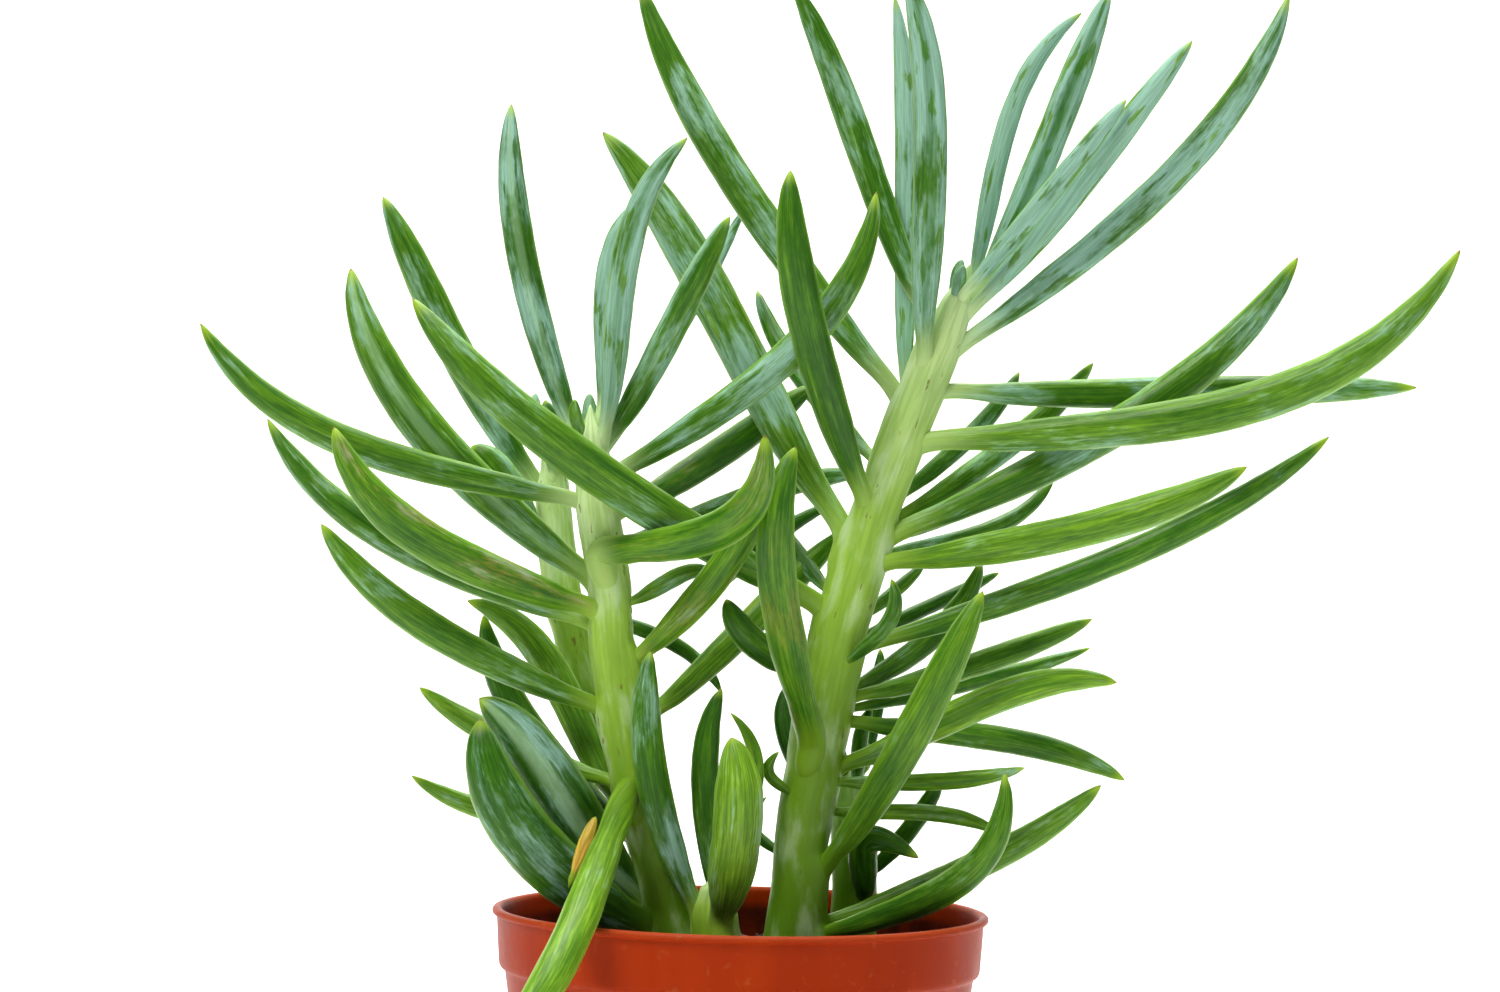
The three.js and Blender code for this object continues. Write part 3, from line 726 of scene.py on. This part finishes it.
def make_stem_skin():
    made, tree = new_material("waxy stem skin")
    flow, skin = (add(tree, ATTRIBUTE, {"attribute_name": n}).outputs["Vector"] for n in ("flow", "skin"))
    share = add(tree, SEPARATE, None, [skin]).outputs["Z"]
    fine, cloud, crack = along_flow(tree, flow, (FINE_LINES, CLOUDS, CRACKS))
    height = add(tree, MATH, TIMES_PLUS, [cloud, 0.3, add(tree, MATH, MINUS, [share, 0.15])])
    line = add(tree, MAP, SMOOTH, [fine, 0.6, 0.4, 0.0, 0.3])
    pale = add(tree, MAP, SMOOTH, [cloud, 0.5, 0.72, 0.0, 0.55])
    cork = add(tree, MAP, SMOOTH, [crack, 0.68, 0.72, 0.0, 0.75])
    colour = layered(tree, painted(add(tree, RAMP, None, [height]), STEM_TONES), (
        (line, "#5D8A24"), (pale, "#C6DDB0"), (cork, "#6E5424")))
    rough = add(tree, MATH, TIMES_PLUS, [cloud, 0.25, 0.32])
    relief = add(tree, MATH, TIMES_PLUS, [crack, 0.6, fine])
    bump = add(tree, BUMP, None, {"Strength": 0.4, "Distance": 0.2 * MM, "Height": relief})
    finish_material(tree, {"Base Color": colour, "Roughness": rough, "Normal": bump}, {
        "IOR": 1.42, "Specular IOR Level": 0.35, "Subsurface Weight": 0.15, "Subsurface Scale": 0.002,
        "Subsurface Radius": (0.7, 1.0, 0.3)})
    return made


stem_skin = make_stem_skin()
print("stem skin:", len(stem_skin.node_tree.nodes), "nodes")


# %% Grow the stems
RIDGE_LENGTH = 15 * MM
BURIED = 8 * MM  # the stem goes on below the top of the soil


def stem_line(name, seats):
    """The stem's line, and beside it an edge under each seat, sloping into the stem."""
    middles, radii, tip = lines[name]
    points = [middles[0] - (0, 0, BURIED), *middles, tip]
    radius = [radii[0], *radii, radii[-1]]
    share = [0.0] + [i / len(middles) for i in range(len(middles))] + [1.0]
    ridge = [0.0] * len(points)
    for seat in seats:
        middle, thick = stem_at(name, seat[2])
        out = (seat - middle) / np.linalg.norm(seat - middle)
        low, thin = stem_at(name, seat[2] - RIDGE_LENGTH)
        points += [middle + out * thick * 1.05, low + out * thin * 0.35]
        ridge += [1.0, 2.0]
        radius, share = radius + [0.0, 0.0], share + [0.0, 0.0]
    return {"points": points, "share": share, "radius": radius, "ridge": ridge,
            "broad": [(1.0, 0.0, 0.0)] * len(points)}


for index, name in enumerate(STEMS):
    own = name.replace("_stem", "_leaf_")
    seats = [lines[n].middles[0] for n in LEAVES if n.startswith(own)]
    tall = lines[name].tip[2] - lines[name].middles[0][2]
    piece = grown(string_object(name + "_skin", stem_line(name, seats)), stem_tree, {
        "Swelling": 1.5 * MM, "Reach": 3.4 * MM, "Unevenness": 0.12, "Seed": 3.1 * index,
        "Length": tall / MM, "Along": max(30, round(tall / (0.8 * MM))), "Around": 56, "Skin": stem_skin})
    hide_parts(name)
    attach(piece, "root")
    print(name, len(seats), "ridges,", len(piece.data.polygons), "faces")

# %% [markdown]
# ## Small leaves
# Between the long leaves stand many small ones, and a tuft of young leaves closes the top of four
# of the stems. They are too many and too small for the CAD model, so they are only here. Each row
# says where the leaf leaves its stem and how far its tip reaches, and the leaf tree grows it.

# %% Rows of small leaves
# name, stem, seat above the soil, reach right, back and up, bow, width (all mm), look
SMALL_LEAVES = [
    ("left_young_01", "left", 73, 21, -1, 8, -1.5, 3.8, (.3, .2, 0, 0)),
    ("left_young_02", "left", 85, 56, 26, 17, -2.5, 5.2, (.35, -.3, 0, 0)),
    ("left_young_03", "left", 103, 31, 27, 57, 0.3, 3.6, (.6, -.2, 0, 0)),
    ("back_young_01", "back", 100, -2, -10, 16, 1.0, 4.2, (.5, -.2, 0, 0)),
    ("back_young_02", "back", 72, 34, -5, -18, -3.5, 3.4, (.2, -.5, 0, 0)),
    ("back_young_03", "back", 54, 54, 18, 42, -2.8, 4.2, (.2, -.7, 0, 0)),
    ("centre_young_01", "centre", 14, 2, 8, 37, 5.9, 3.4, (.1, .1, 0, 0)),
    ("right_young_01", "right", 30, 42, -2, -4, -2.5, 3.6, (.2, .2, 0, 0)),
    ("right_young_02", "right", 32, -6, -8, 11, -3.1, 2.5, (.1, .1, 0, 0)),
    ("right_young_03", "right", 18, -7, 12, 14, -4.7, 2.5, (.1, -.4, 0, 0)),
    ("right_young_04", "right", 33, -3, 16, 24, -2.7, 4.2, (.1, -.7, 0, 0)),
    ("right_young_05", "right", 95, 31, 18, 30, 1.8, 4.2, (.4, -.3, 0, 0)),
    ("right_young_06", "right", 84, 43, 24, 19, 4.7, 3.8, (.35, -.2, 0, 0)),
    ("right_young_07", "right", 87, 31, 32, 12, 0.8, 3.0, (.2, -.4, 0, 0)),
    ("right_young_08", "right", 70, 18, 14, 13, 0.3, 3.0, (.2, -.1, 0, 0)),
    ("right_young_09", "right", 66, 36, 30, 15, 0.2, 3.4, (.2, -.5, 0, 0)),
    ("right_young_10", "right", 51, 59, 26, 14, 0.9, 3.6, (.2, -.3, 0, 0)),
    ("right_young_11", "right", 36, 45, -12, 5, 1.4, 3.8, (.2, .2, 0, 0)),
    ("right_young_12", "right", 103, -29, 30, 39, -2.4, 4.7, (.5, -.4, 0, 0)),
    ("right_young_13", "right", 75, -25, 26, 21, 2.0, 4.2, (.2, -.6, 0, 0)),
    ("right_young_14", "right", 60, 12, -14, 20, 3.5, 3.6, (.2, -.4, 0, 0)),
    ("shoot_young_01", "shoot", 14, 18, -10, 24, 0.9, 4.2, (.2, -.5, 0, 0)),
    ("shoot_young_02", "shoot", 9, 13, -19, 12, -9.5, 6.4, (.2, -.5, 0, 0)),
    ("shoot_young_03", "shoot", 32, 6, 8, 32, 1.0, 3.8, (.2, -.5, 0, 0)),
    ("shoot_young_04", "shoot", 32, 4, -8, 20, -1.2, 3.4, (.2, -.4, 0, 0)),
]
# The tufts: height of the first leaf in mm, bloom, and which way the first one leans, in radians.
CROWNS = {"left": (12, .55, 1.6), "right": (14, .7, 2.2), "back": (13, .5, 0.4), "shoot": (9, .3, 0.0)}
CROWN_LEAVES, CROWN_TURN, CROWN_SPREAD, CROWN_SINK = 3, 2.1, 3.4, 1.5
for stem, (tall, bloom, first) in CROWNS.items():
    middles, _, tip = lines[stem + "_stem"]
    lean = (tip - middles[-2]) / np.linalg.norm(tip - middles[-2])
    height = (tip[2] - middles[0][2]) / MM
    for i in range(CROWN_LEAVES):
        turn, size = first + CROWN_TURN * i, tall * (1 - 0.12 * i)
        reach = np.array([math.cos(turn), math.sin(turn), 0]) * CROWN_SPREAD + lean * size
        SMALL_LEAVES.append((f"{stem}_crown_{i + 1:02d}", stem, height - CROWN_SINK, *reach,
                             0.8 * math.cos(turn), 3.2 - 0.3 * i, (bloom, 0.2, 0, 0)))
print(len(SMALL_LEAVES), "small leaves to grow")


# %% Grow the small leaves
SOIL_LOW, SOIL_HIGH = (np.array(corner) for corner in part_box("soil"))
SOIL_TOP = SOIL_HIGH[2]
SMALL_ALONG, SMALL_AROUND = 64, 24


def cubic(a, b, c, d, t):
    t = np.asarray(t)[:, None]
    return a * (1 - t) ** 3 + 3 * b * t * (1 - t) ** 2 + 3 * c * t * t * (1 - t) + d * t ** 3


for index, (name, stem, above, right, back, up, bow, width, look) in enumerate(SMALL_LEAVES):
    middle, thick = stem_at(stem + "_stem", SOIL_TOP + above * MM)
    reach = np.array([right, back, up]) * MM
    out = reach * (1, 1, 0.3) / np.linalg.norm(reach * (1, 1, 0.3))
    seat, end = middle + out * thick * (0.45 if "crown" in name else 0.9), middle + reach
    way = end - seat
    side = np.array([way[2], 0, -way[0]])
    bend = side / max(np.linalg.norm(side), 1e-6) * bow * MM
    lead = out * width * 0.5 * MM
    bezier = (seat, seat + 0.3 * way + 0.5 * bend + lead, seat + 0.7 * way + 2.1 * bend, end)
    points = cubic(*bezier, SHARES + [1.0])
    line, length = leaf_line(stem + "_stem", seat[2], points[:-1], points[-1], width * MM)
    piece = grow_leaf(name, stem + "_stem", line, length, width * MM / 2, 100 + 1.3 * index, look,
                      SMALL_ALONG, SMALL_AROUND)
    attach(piece, "root")
print("small leaves grown, the last with", len(piece.data.polygons), "faces")

# %% [markdown]
# An old leaf has shrivelled to a straw-coloured scrap that lies against the broad leaves. It has
# the form of a leaf still, so the leaf tree makes it too, on a short straight line, in dry colours.

# %% A withered scrap of leaf
SCRAP_LOW, SCRAP_HIGH = (-35.6, -25.0, 96.0), (-30.4, -20.2, 110.6)
COUNT = len(FOOT_SHARES) + RINGS + 1
line = {"points": np.linspace(SCRAP_LOW, SCRAP_HIGH, COUNT) * MM,
        "share": FOOT_SHARES + [i / RINGS for i in range(RINGS + 1)],
        "radius": np.ones(COUNT), "broad": [(0.95, 0.0, -0.3)] * COUNT, "ridge": np.zeros(COUNT)}
piece = grow_leaf("left_withered_01", "left_stem", line, 16 * MM, 1.5 * MM, 7.0, (0.1, 0.3, 0, 0.3),
                  SMALL_ALONG, SMALL_AROUND, withered_skin)
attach(piece, "root")
print("withered scrap:", len(piece.data.polygons), "faces")

# %% [markdown]
# ## The pot
# The pot is a thin nursery pot, injection moulded in terracotta-coloured polypropylene. It has a
# rolled lip, a slightly wider band under it so that pots stack, and drain holes in a hollow under
# its floor. It is a turned shape, so its profile is drawn once and carried round. The holes repeat
# on a circle, so a Geometry Nodes tree sets the cutters out and takes them away from the shell.

# %% Turn a profile
ROUND = 192


def turned(name, profile, around, wobble=0.0):
    """A closed shape from a profile of (radius, height) that starts and ends on the axis.

    A wobble makes it a little oval, more so further up.
    """
    rings = []
    for radius, height in profile:
        count = 1 if radius == 0 else around
        turns = [2 * math.pi * i / around for i in range(count)]
        oval = [radius * (1 + wobble * height * math.cos(2 * t + 1)) for t in turns]
        rings.append([(r * math.cos(t), r * math.sin(t), height) for r, t in zip(oval, turns)])
    starts = np.cumsum([0] + [len(r) for r in rings])
    faces = []
    for a, b, low, high in zip(rings, rings[1:], starts, starts[1:]):
        for i in range(around):
            j = (i + 1) % around
            face = [low + i % len(a), low + j % len(a), high + j % len(b), high + i % len(b)]
            faces.append(list(dict.fromkeys(face)))
    return mesh_object(name, [p for r in rings for p in r], faces)


print("ready to turn a profile, with", ROUND, "steps round")


# %% Shell of the pot
POT_LOW, POT_HIGH = (np.array(corner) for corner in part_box("plastic_pot"))
LIP_RADIUS = (POT_HIGH[0] - POT_LOW[0]) / 2
POT_HEIGHT = POT_HIGH[2]
# The profile is drawn in millimetres for a pot of this lip radius and height: from under the
# floor, up the outside, over the lip and down inside.
DRAWN_RADIUS, DRAWN_HEIGHT = 52.5, 90
OUTSIDE = [
    (0, 0), (19.6, 0), (20, 0.4), (20.3, 2), (31.7, 2), (32, 0.4), (32.4, 0), (38, 0), (38.4, 0.3),
    (38.6, 1.2), (41.8, 23), (45.1, 45), (47.9, 65), (49.5, 76), (49.7, 76.8), (50.1, 77.2),
    (50.6, 77.5), (50.85, 78), (50.95, 78.8), (51.15, 82), (51.5, 87.8), (51.6, 88.3), (51.9, 88.5),
    (52.25, 88.6)]
LIP = [
    (52.45, 88.8), (52.5, 89.15), (52.45, 89.5), (52.2, 89.8), (51.8, 89.96), (51.3, 90), (50.9, 89.95)]
INSIDE = [
    (50.6, 89.7), (50.35, 89), (50.1, 88), (49.6, 83), (48.6, 77), (48.3, 75.6), (46.8, 65),
    (43.9, 45), (40.6, 23), (38, 6), (37.5, 4.2), (36.2, 3.3), (34.8, 3.2), (0, 3.2)]
scale = np.array([LIP_RADIUS / DRAWN_RADIUS, POT_HEIGHT / DRAWN_HEIGHT])
pot = turned("plastic_pot_shell", np.array(OUTSIDE + LIP + INSIDE) * scale, ROUND, wobble=0.03)
# Points of the inside hold a 1, which the plastic reads to paint shade inside the pot.
inner = [0.0] * (1 + ROUND * (len(OUTSIDE + LIP) - 1)) + [1.0] * (ROUND * (len(INSIDE) - 1) + 1)
pot.data.attributes.new("inside", "FLOAT", "POINT").data.foreach_set("value", inner)
print("pot:", round(LIP_RADIUS / MM, 1), "mm lip radius,", len(pot.data.polygons), "faces")


# %% Cut the drain holes
def make_drain_tree():
    tree, ask = new_tree("drain holes", [
        ("Holes", "Int"), ("Hole radius", "Float"), ("Circle", "Float"), ("Depth", "Float"),
        ("Plastic", "Material")])
    ring = add(tree, "GeometryNodeMeshCircle", None, {"Vertices": ask["Holes"], "Radius": ask["Circle"]})
    half_step = add(tree, MATH, DIVIDE, [math.pi, ask["Holes"]])
    turn = add(tree, COMBINE, None, {"Z": half_step})
    ring = add(tree, "GeometryNodeTransform", None, {"Geometry": ring, "Rotation": turn})
    cutter = add(tree, "GeometryNodeMeshCylinder", None,
                 {"Vertices": 36, "Radius": ask["Hole radius"], "Depth": ask["Depth"]})
    cutters = add(tree, "GeometryNodeInstanceOnPoints", None,
                  {"Points": ring, "Instance": cutter.outputs["Mesh"]})
    cutters = add(tree, REALIZE, None, [cutters])
    cut = add(tree, "GeometryNodeMeshBoolean", {"operation": "DIFFERENCE", "solver": "EXACT"},
              {"Mesh 1": ask["Geometry"], "Mesh 2": cutters})
    return dressed(tree, cut, ask["Plastic"])


drain_tree = make_drain_tree()
print("drain tree:", len(drain_tree.nodes), "nodes")

# %% [markdown]
# Polypropylene comes out of a polished mould with a soft satin gloss. Its colour is a strong
# orange-red, a little uneven where the melt has flowed, and a thin lip lets more light through, so
# it looks paler. Inside, below the lip, the colour is painted darker in blotches as painted shade.

# %% Terracotta polypropylene
# Waves a metre: flow lines 11 mm wide and 70 mm long, dust specks of 2.4 mm, a mould grain of
# 0.4 mm, and blotches of painted shade inside the pot of 8 mm.
FLOW_LINES, DUST, MOULD_GRAIN, SHADE_BLOTCHES = (90, 90, 14), 420.0, 2600.0, 120.0


def make_pot_plastic():
    made, tree = new_material("moulded terracotta polypropylene")
    where = add(tree, "ShaderNodeTexCoord").outputs["Object"]
    inside = add(tree, ATTRIBUTE, {"attribute_name": "inside"}).outputs["Fac"]
    height = add(tree, SEPARATE, None, [where]).outputs["Z"]
    flow = add(tree, "ShaderNodeMapping", None, {"Vector": where, "Scale": FLOW_LINES})
    flow = add(tree, NOISE, None, {"Vector": flow, "Scale": 1.0, "Detail": 4.0})
    dust = add(tree, NOISE, None, {"Vector": where, "Scale": DUST, "Detail": 5.0})
    grain = add(tree, NOISE, None, {"Vector": where, "Scale": MOULD_GRAIN, "Detail": 2.0})
    shade_noise = add(tree, NOISE, None, {"Vector": where, "Scale": SHADE_BLOTCHES, "Detail": 6.0})
    melt = add(tree, MAP, SMOOTH, [flow, 0.35, 0.7, 0.0, 0.55])
    lip = add(tree, MAP, SMOOTH, [height, 0.985 * POT_HEIGHT, 0.997 * POT_HEIGHT, 0.0, 0.5])
    dusty = add(tree, MAP, SMOOTH, [dust, 0.6, 0.78, 0.0, 0.25])
    # Painted shade: inside the pot, below the lip, the colour is darkened in blotches towards #34120E.
    painted_inside_shade = add(tree, MAP, SMOOTH, [shade_noise, 0.3, 0.6, 0.55, 0.9])
    painted_inside_shade = add(tree, MATH, TIMES, [painted_inside_shade, inside])
    below = add(tree, MAP, SMOOTH, [height, 0.97 * POT_HEIGHT, 0.94 * POT_HEIGHT])
    painted_inside_shade = add(tree, MATH, TIMES, [painted_inside_shade, below])
    # The last layer, #34120E, is painted shade on the inside wall of the pot.
    colour = layered(tree, linear("#8E2703"), (
        (melt, "#A03206"), (lip, "#A84A28"), (dusty, "#B06A44"), (painted_inside_shade, "#34120E")))
    relief = add(tree, MATH, TIMES_PLUS, [flow, 3.0, grain])
    bump = add(tree, BUMP, None, {"Strength": 0.3, "Distance": 0.06 * MM, "Height": relief})
    rough = add(tree, MATH, TIMES_PLUS, [dust, 0.2, 0.32])
    finish_material(tree, {"Base Color": colour, "Roughness": rough, "Normal": bump}, {
        "IOR": 1.49, "Specular IOR Level": 0.05})
    return made


pot = grown(pot, drain_tree, {
    "Holes": 6, "Hole radius": 4 * MM, "Circle": 26 * MM, "Depth": 12 * MM, "Plastic": make_pot_plastic()})
pot.data.shade_smooth()
pot.data.set_sharp_from_angle(angle=math.radians(40))
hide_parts("plastic_pot")
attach(pot, "root")
print("pot cut:", len(pot.data.polygons), "faces")

# %% [markdown]
# ## The soil
# Potting soil is peat with crumbs, bark chips and white grains of perlite in it. The body of it is
# one closed shape with an uneven top. On that, a Geometry Nodes tree scatters grains: points on
# the top faces, a small rough stone on each, turned and sized at random from a fixed seed. The
# same tree makes crumbs, chips and perlite, with other sizes and materials.

# %% Body of the soil
SOIL_RADIUS = 48.9 * MM * LIP_RADIUS / (DRAWN_RADIUS * MM)
SOIL_FOOT = 37.4 * MM
EDGE_STEPS, TOP_RINGS, ROUND_SOIL = 8, 40, 120
EDGE_DROP = 2 * MM
bottom, deep = SOIL_LOW[2], SOIL_TOP - SOIL_LOW[2]
profile = [(0, bottom), (SOIL_FOOT * 0.96, bottom), (SOIL_FOOT, bottom + 1.5 * MM)]
for i in range(1, EDGE_STEPS + 1):
    radius = SOIL_FOOT + (SOIL_RADIUS - SOIL_FOOT) * (i / EDGE_STEPS)
    profile.append((radius, bottom + deep * i / EDGE_STEPS - EDGE_DROP))
profile += [(SOIL_RADIUS * math.sqrt(1 - i / TOP_RINGS), SOIL_TOP - EDGE_DROP) for i in range(TOP_RINGS)]
profile += [(0, SOIL_TOP - MM)]
soil = turned("soil_body", profile, ROUND_SOIL)
print("soil body:", len(soil.data.polygons), "faces")

# %% Lumps on its top
WAVES = (60, 110, 190, 320, 520, 900, 1400)  # radians a metre, from broad mounds to crumbs
rng = np.random.default_rng(5)
waves = [(rng.uniform(-1, 1, 2) * k, rng.uniform(0, 6.3), 1 / k ** 0.8) for k in WAVES]
top = [v for v in soil.data.vertices if v.co.z > SOIL_TOP - 2.5 * MM]
for vertex in top:
    x, y, _ = vertex.co
    out = math.hypot(x, y) / SOIL_RADIUS
    rough = sum(size * math.sin(way[0] * x + way[1] * y + start) for way, start, size in waves)
    vertex.co.z = SOIL_TOP - 0.9 * MM - 1.6 * MM * out ** 6 + 12 * MM * rough * (1 - out ** 8)
soil.data.update()
print("soil top between", [round(end(v.co.z for v in top) / MM, 1) for end in (min, max)], "mm")

# %% [markdown]
# Damp peat is dark, matt and crumbly, so light sinks into it. Pine bark is redder and splits into
# flat chips. Perlite is volcanic glass, popped by heat into white, chalky, pitted grains. All three
# are the same rough matt surface in other tones, so one function makes them. Their lumps are about
# 1.4, 1.1 and 0.7 mm across, which is 700, 900 and 1500 waves a metre.

# %% Peat, bark and perlite
def make_soil_material(name, tones, scale, roughness):
    made, tree = new_material(name)
    where = add(tree, "ShaderNodeTexCoord").outputs["Object"]
    coarse = add(tree, NOISE, None, {"Vector": where, "Scale": scale, "Detail": 8.0, "Roughness": 0.65})
    colour = painted(add(tree, RAMP, None, [coarse]), tones)
    bump = add(tree, BUMP, None, {"Strength": 0.9, "Distance": 0.8 * MM, "Height": coarse})
    finish_material(tree, {"Base Color": colour, "Normal": bump}, {"Roughness": roughness})
    return made


peat = make_soil_material(
    "damp peat", [(0.3, "#140C08"), (0.48, "#2A1A10"), (0.6, "#3D2817"), (0.75, "#5A3D24")], 700.0, 0.9)
bark = make_soil_material(
    "pine bark chip", [(0.3, "#2A150B"), (0.5, "#4F2C17"), (0.65, "#6E4526"), (0.8, "#8E6540")], 900.0, 0.8)
perlite = make_soil_material(
    "perlite", [(0.3, "#B9B2A2"), (0.5, "#D8D3C6"), (0.7, "#ECE9E0"), (0.85, "#F4F2EC")], 1500.0, 0.85)
soil.data.materials.append(peat)
soil.data.shade_smooth()
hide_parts("soil")
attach(soil, "root")
print("soil dressed")


# %% Scattered grains
def make_grain_tree():
    tree, ask = new_tree("scattered grains", [
        ("Density", "Float"), ("Grain size", "Vector"), ("Smallest", "Float"), ("Seed", "Int"),
        ("Above", "Float"), ("Grain", "Material")])
    height = add(tree, SEPARATE, None, [add(tree, "GeometryNodeInputPosition")]).outputs["Z"]
    on_top = add(tree, "FunctionNodeCompare", {"operation": "GREATER_THAN"}, [height, ask["Above"]])
    spots = add(tree, "GeometryNodeDistributePointsOnFaces", {"distribute_method": "RANDOM"}, {
        "Mesh": ask["Geometry"], "Selection": on_top, "Density": ask["Density"], "Seed": ask["Seed"]})
    stone = add(tree, "GeometryNodeMeshIcoSphere", None, {"Radius": 0.5, "Subdivisions": 2})
    turns = add(tree, "FunctionNodeRandomValue", {"data_type": "FLOAT_VECTOR"},
                {"Max": (0.9, 0.9, 6.3), "Seed": ask["Seed"]})
    sizes = add(tree, "FunctionNodeRandomValue", {"data_type": "FLOAT"},
                {"Min": ask["Smallest"], "Max": 1.0, "Seed": ask["Seed"]})
    sizes = add(tree, VECTORS, SCALED, {"Vector": ask["Grain size"], "Scale": sizes})
    stones = add(tree, "GeometryNodeInstanceOnPoints", None, {
        "Points": spots.outputs["Points"], "Instance": stone.outputs["Mesh"],
        "Rotation": turns, "Scale": sizes})
    real = add(tree, REALIZE, None, [stones])
    lump = add(tree, NOISE, None, {"Scale": 900.0, "Detail": 1.0})
    lump = add(tree, MATH, TIMES_PLUS, [lump, 1.6 * MM, -0.8 * MM])
    out = add(tree, VECTORS, SCALED, {"Vector": add(tree, "GeometryNodeInputNormal"), "Scale": lump})
    real = add(tree, MOVE, None, {"Geometry": real, "Offset": out})
    real = add(tree, "GeometryNodeSetShadeSmooth", None, {"Geometry": real, "Shade Smooth": False})
    return dressed(tree, real, ask["Grain"])


grain_tree = make_grain_tree()
GRAINS = (  # name, grains a square metre, size in mm, smallest share of it, seed, material
    ("peat_crumbs", 150000, (2.6, 2.2, 1.8), 0.35, 3, peat),
    ("bark_chips", 26000, (5.5, 3.0, 1.5), 0.5, 8, bark),
    ("perlite_grains", 9000, (2.6, 2.4, 2.2), 0.5, 12, perlite),
)
for name, density, size, smallest, seed, material in GRAINS:
    grains = bpy.data.objects.new(name, soil.data.copy())
    bpy.context.scene.collection.objects.link(grains)
    grown(grains, grain_tree, {
        "Density": density, "Grain size": [s * MM for s in size], "Smallest": smallest, "Seed": seed,
        "Above": SOIL_TOP - 2.4 * MM, "Grain": material})
    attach(grains, "root")
    print(name, len(grains.data.polygons), "faces")

# %% [markdown]
# ## Studio
# The plant stands in a plain white studio: a floor of matt white paper that curves up behind it
# into a backdrop. A soft lamp high on the left of the camera gives the form, a weak one on the
# right opens the shadows, one above the plant lights the leaves' upper sides, a very wide one near
# the ceiling keeps the paper pale all round, and one behind the plant is turned on the backdrop.

# %% Floor and backdrop
FLOOR_HALF, FLOOR_FRONT, BEND_START, BEND_RADIUS, BACK_HEIGHT = 1.8, -1.8, 1.5, 0.6, 2.6
PAPER_GRAIN = 900.0  # waves a metre: tufts of about 1 mm
side_view = [(FLOOR_FRONT, 0.0), (0.0, 0.0), (BEND_START, 0.0)]
side_view += [(BEND_START + BEND_RADIUS * math.sin(a), BEND_RADIUS * (1 - math.cos(a)))
              for a in np.linspace(0, math.pi / 2, 17)[1:]]
side_view += [(BEND_START + BEND_RADIUS, BACK_HEIGHT)]
sheet = [(x, y, z) for y, z in side_view for x in (-FLOOR_HALF, FLOOR_HALF)]
floor = mesh_object("studio_floor", sheet, [(i, i + 1, i + 3, i + 2) for i in range(0, len(sheet) - 2, 2)])
floor.data.shade_smooth()
paper, paper_tree = new_material("matt white paper")
paper_where = add(paper_tree, "ShaderNodeTexCoord").outputs["Object"]
grain = add(paper_tree, NOISE, None, {"Vector": paper_where, "Scale": PAPER_GRAIN, "Detail": 2.0})
bump = add(paper_tree, BUMP, None, {"Strength": 0.1, "Distance": 0.1 * MM, "Height": grain})
finish_material(paper_tree, {"Normal": bump}, {"Base Color": linear("#F4F4F2"), "Roughness": 0.9})
floor.data.materials.append(paper)
print("floor:", len(floor.data.polygons), "faces")


# %% Lamps
def soft_lamp(name, place, aim, size, watts, colour="#FFFFFF"):
    lamp = bpy.data.lights.new(name, "AREA")
    lamp.shape, lamp.size, lamp.energy, lamp.color = "DISK", size, watts, linear(colour)[:3]
    made = bpy.data.objects.new(name, lamp)
    made.location = place
    made.rotation_euler = (Vector(aim) - Vector(place)).to_track_quat("-Z", "Y").to_euler()
    bpy.context.scene.collection.objects.link(made)


MIDDLE = (0.0, 0.0, 0.18)
soft_lamp("key lamp", (-0.6, -0.8, 1.45), MIDDLE, 0.6, 21, "#FFFBF4")
soft_lamp("fill lamp", (1.2, -1.0, 0.6), MIDDLE, 1.0, 2.2, "#F4F8FF")
soft_lamp("top lamp", (0.15, 0.1, 1.5), MIDDLE, 0.7, 11)
soft_lamp("ceiling lamp", (0.0, 0.0, 3.2), MIDDLE, 5.0, 55)
soft_lamp("backdrop lamp", (0.0, 0.75, 1.9), (0.0, 2.0, 0.3), 1.6, 60)
world = bpy.data.worlds.new("white studio")
world.use_nodes = True
world.node_tree.nodes.clear()
seen = add(world.node_tree, "ShaderNodeLightPath").outputs["Is Camera Ray"]
strength = add(world.node_tree, MAP, None, [seen, 0.0, 1.0, 0.08, 1.0])
sky = add(world.node_tree, "ShaderNodeBackground", None, [linear("#FFFFFF"), strength])
add(world.node_tree, "ShaderNodeOutputWorld", None, [sky])
bpy.context.scene.world = world
print(len(bpy.data.lights), "lamps and a white world")
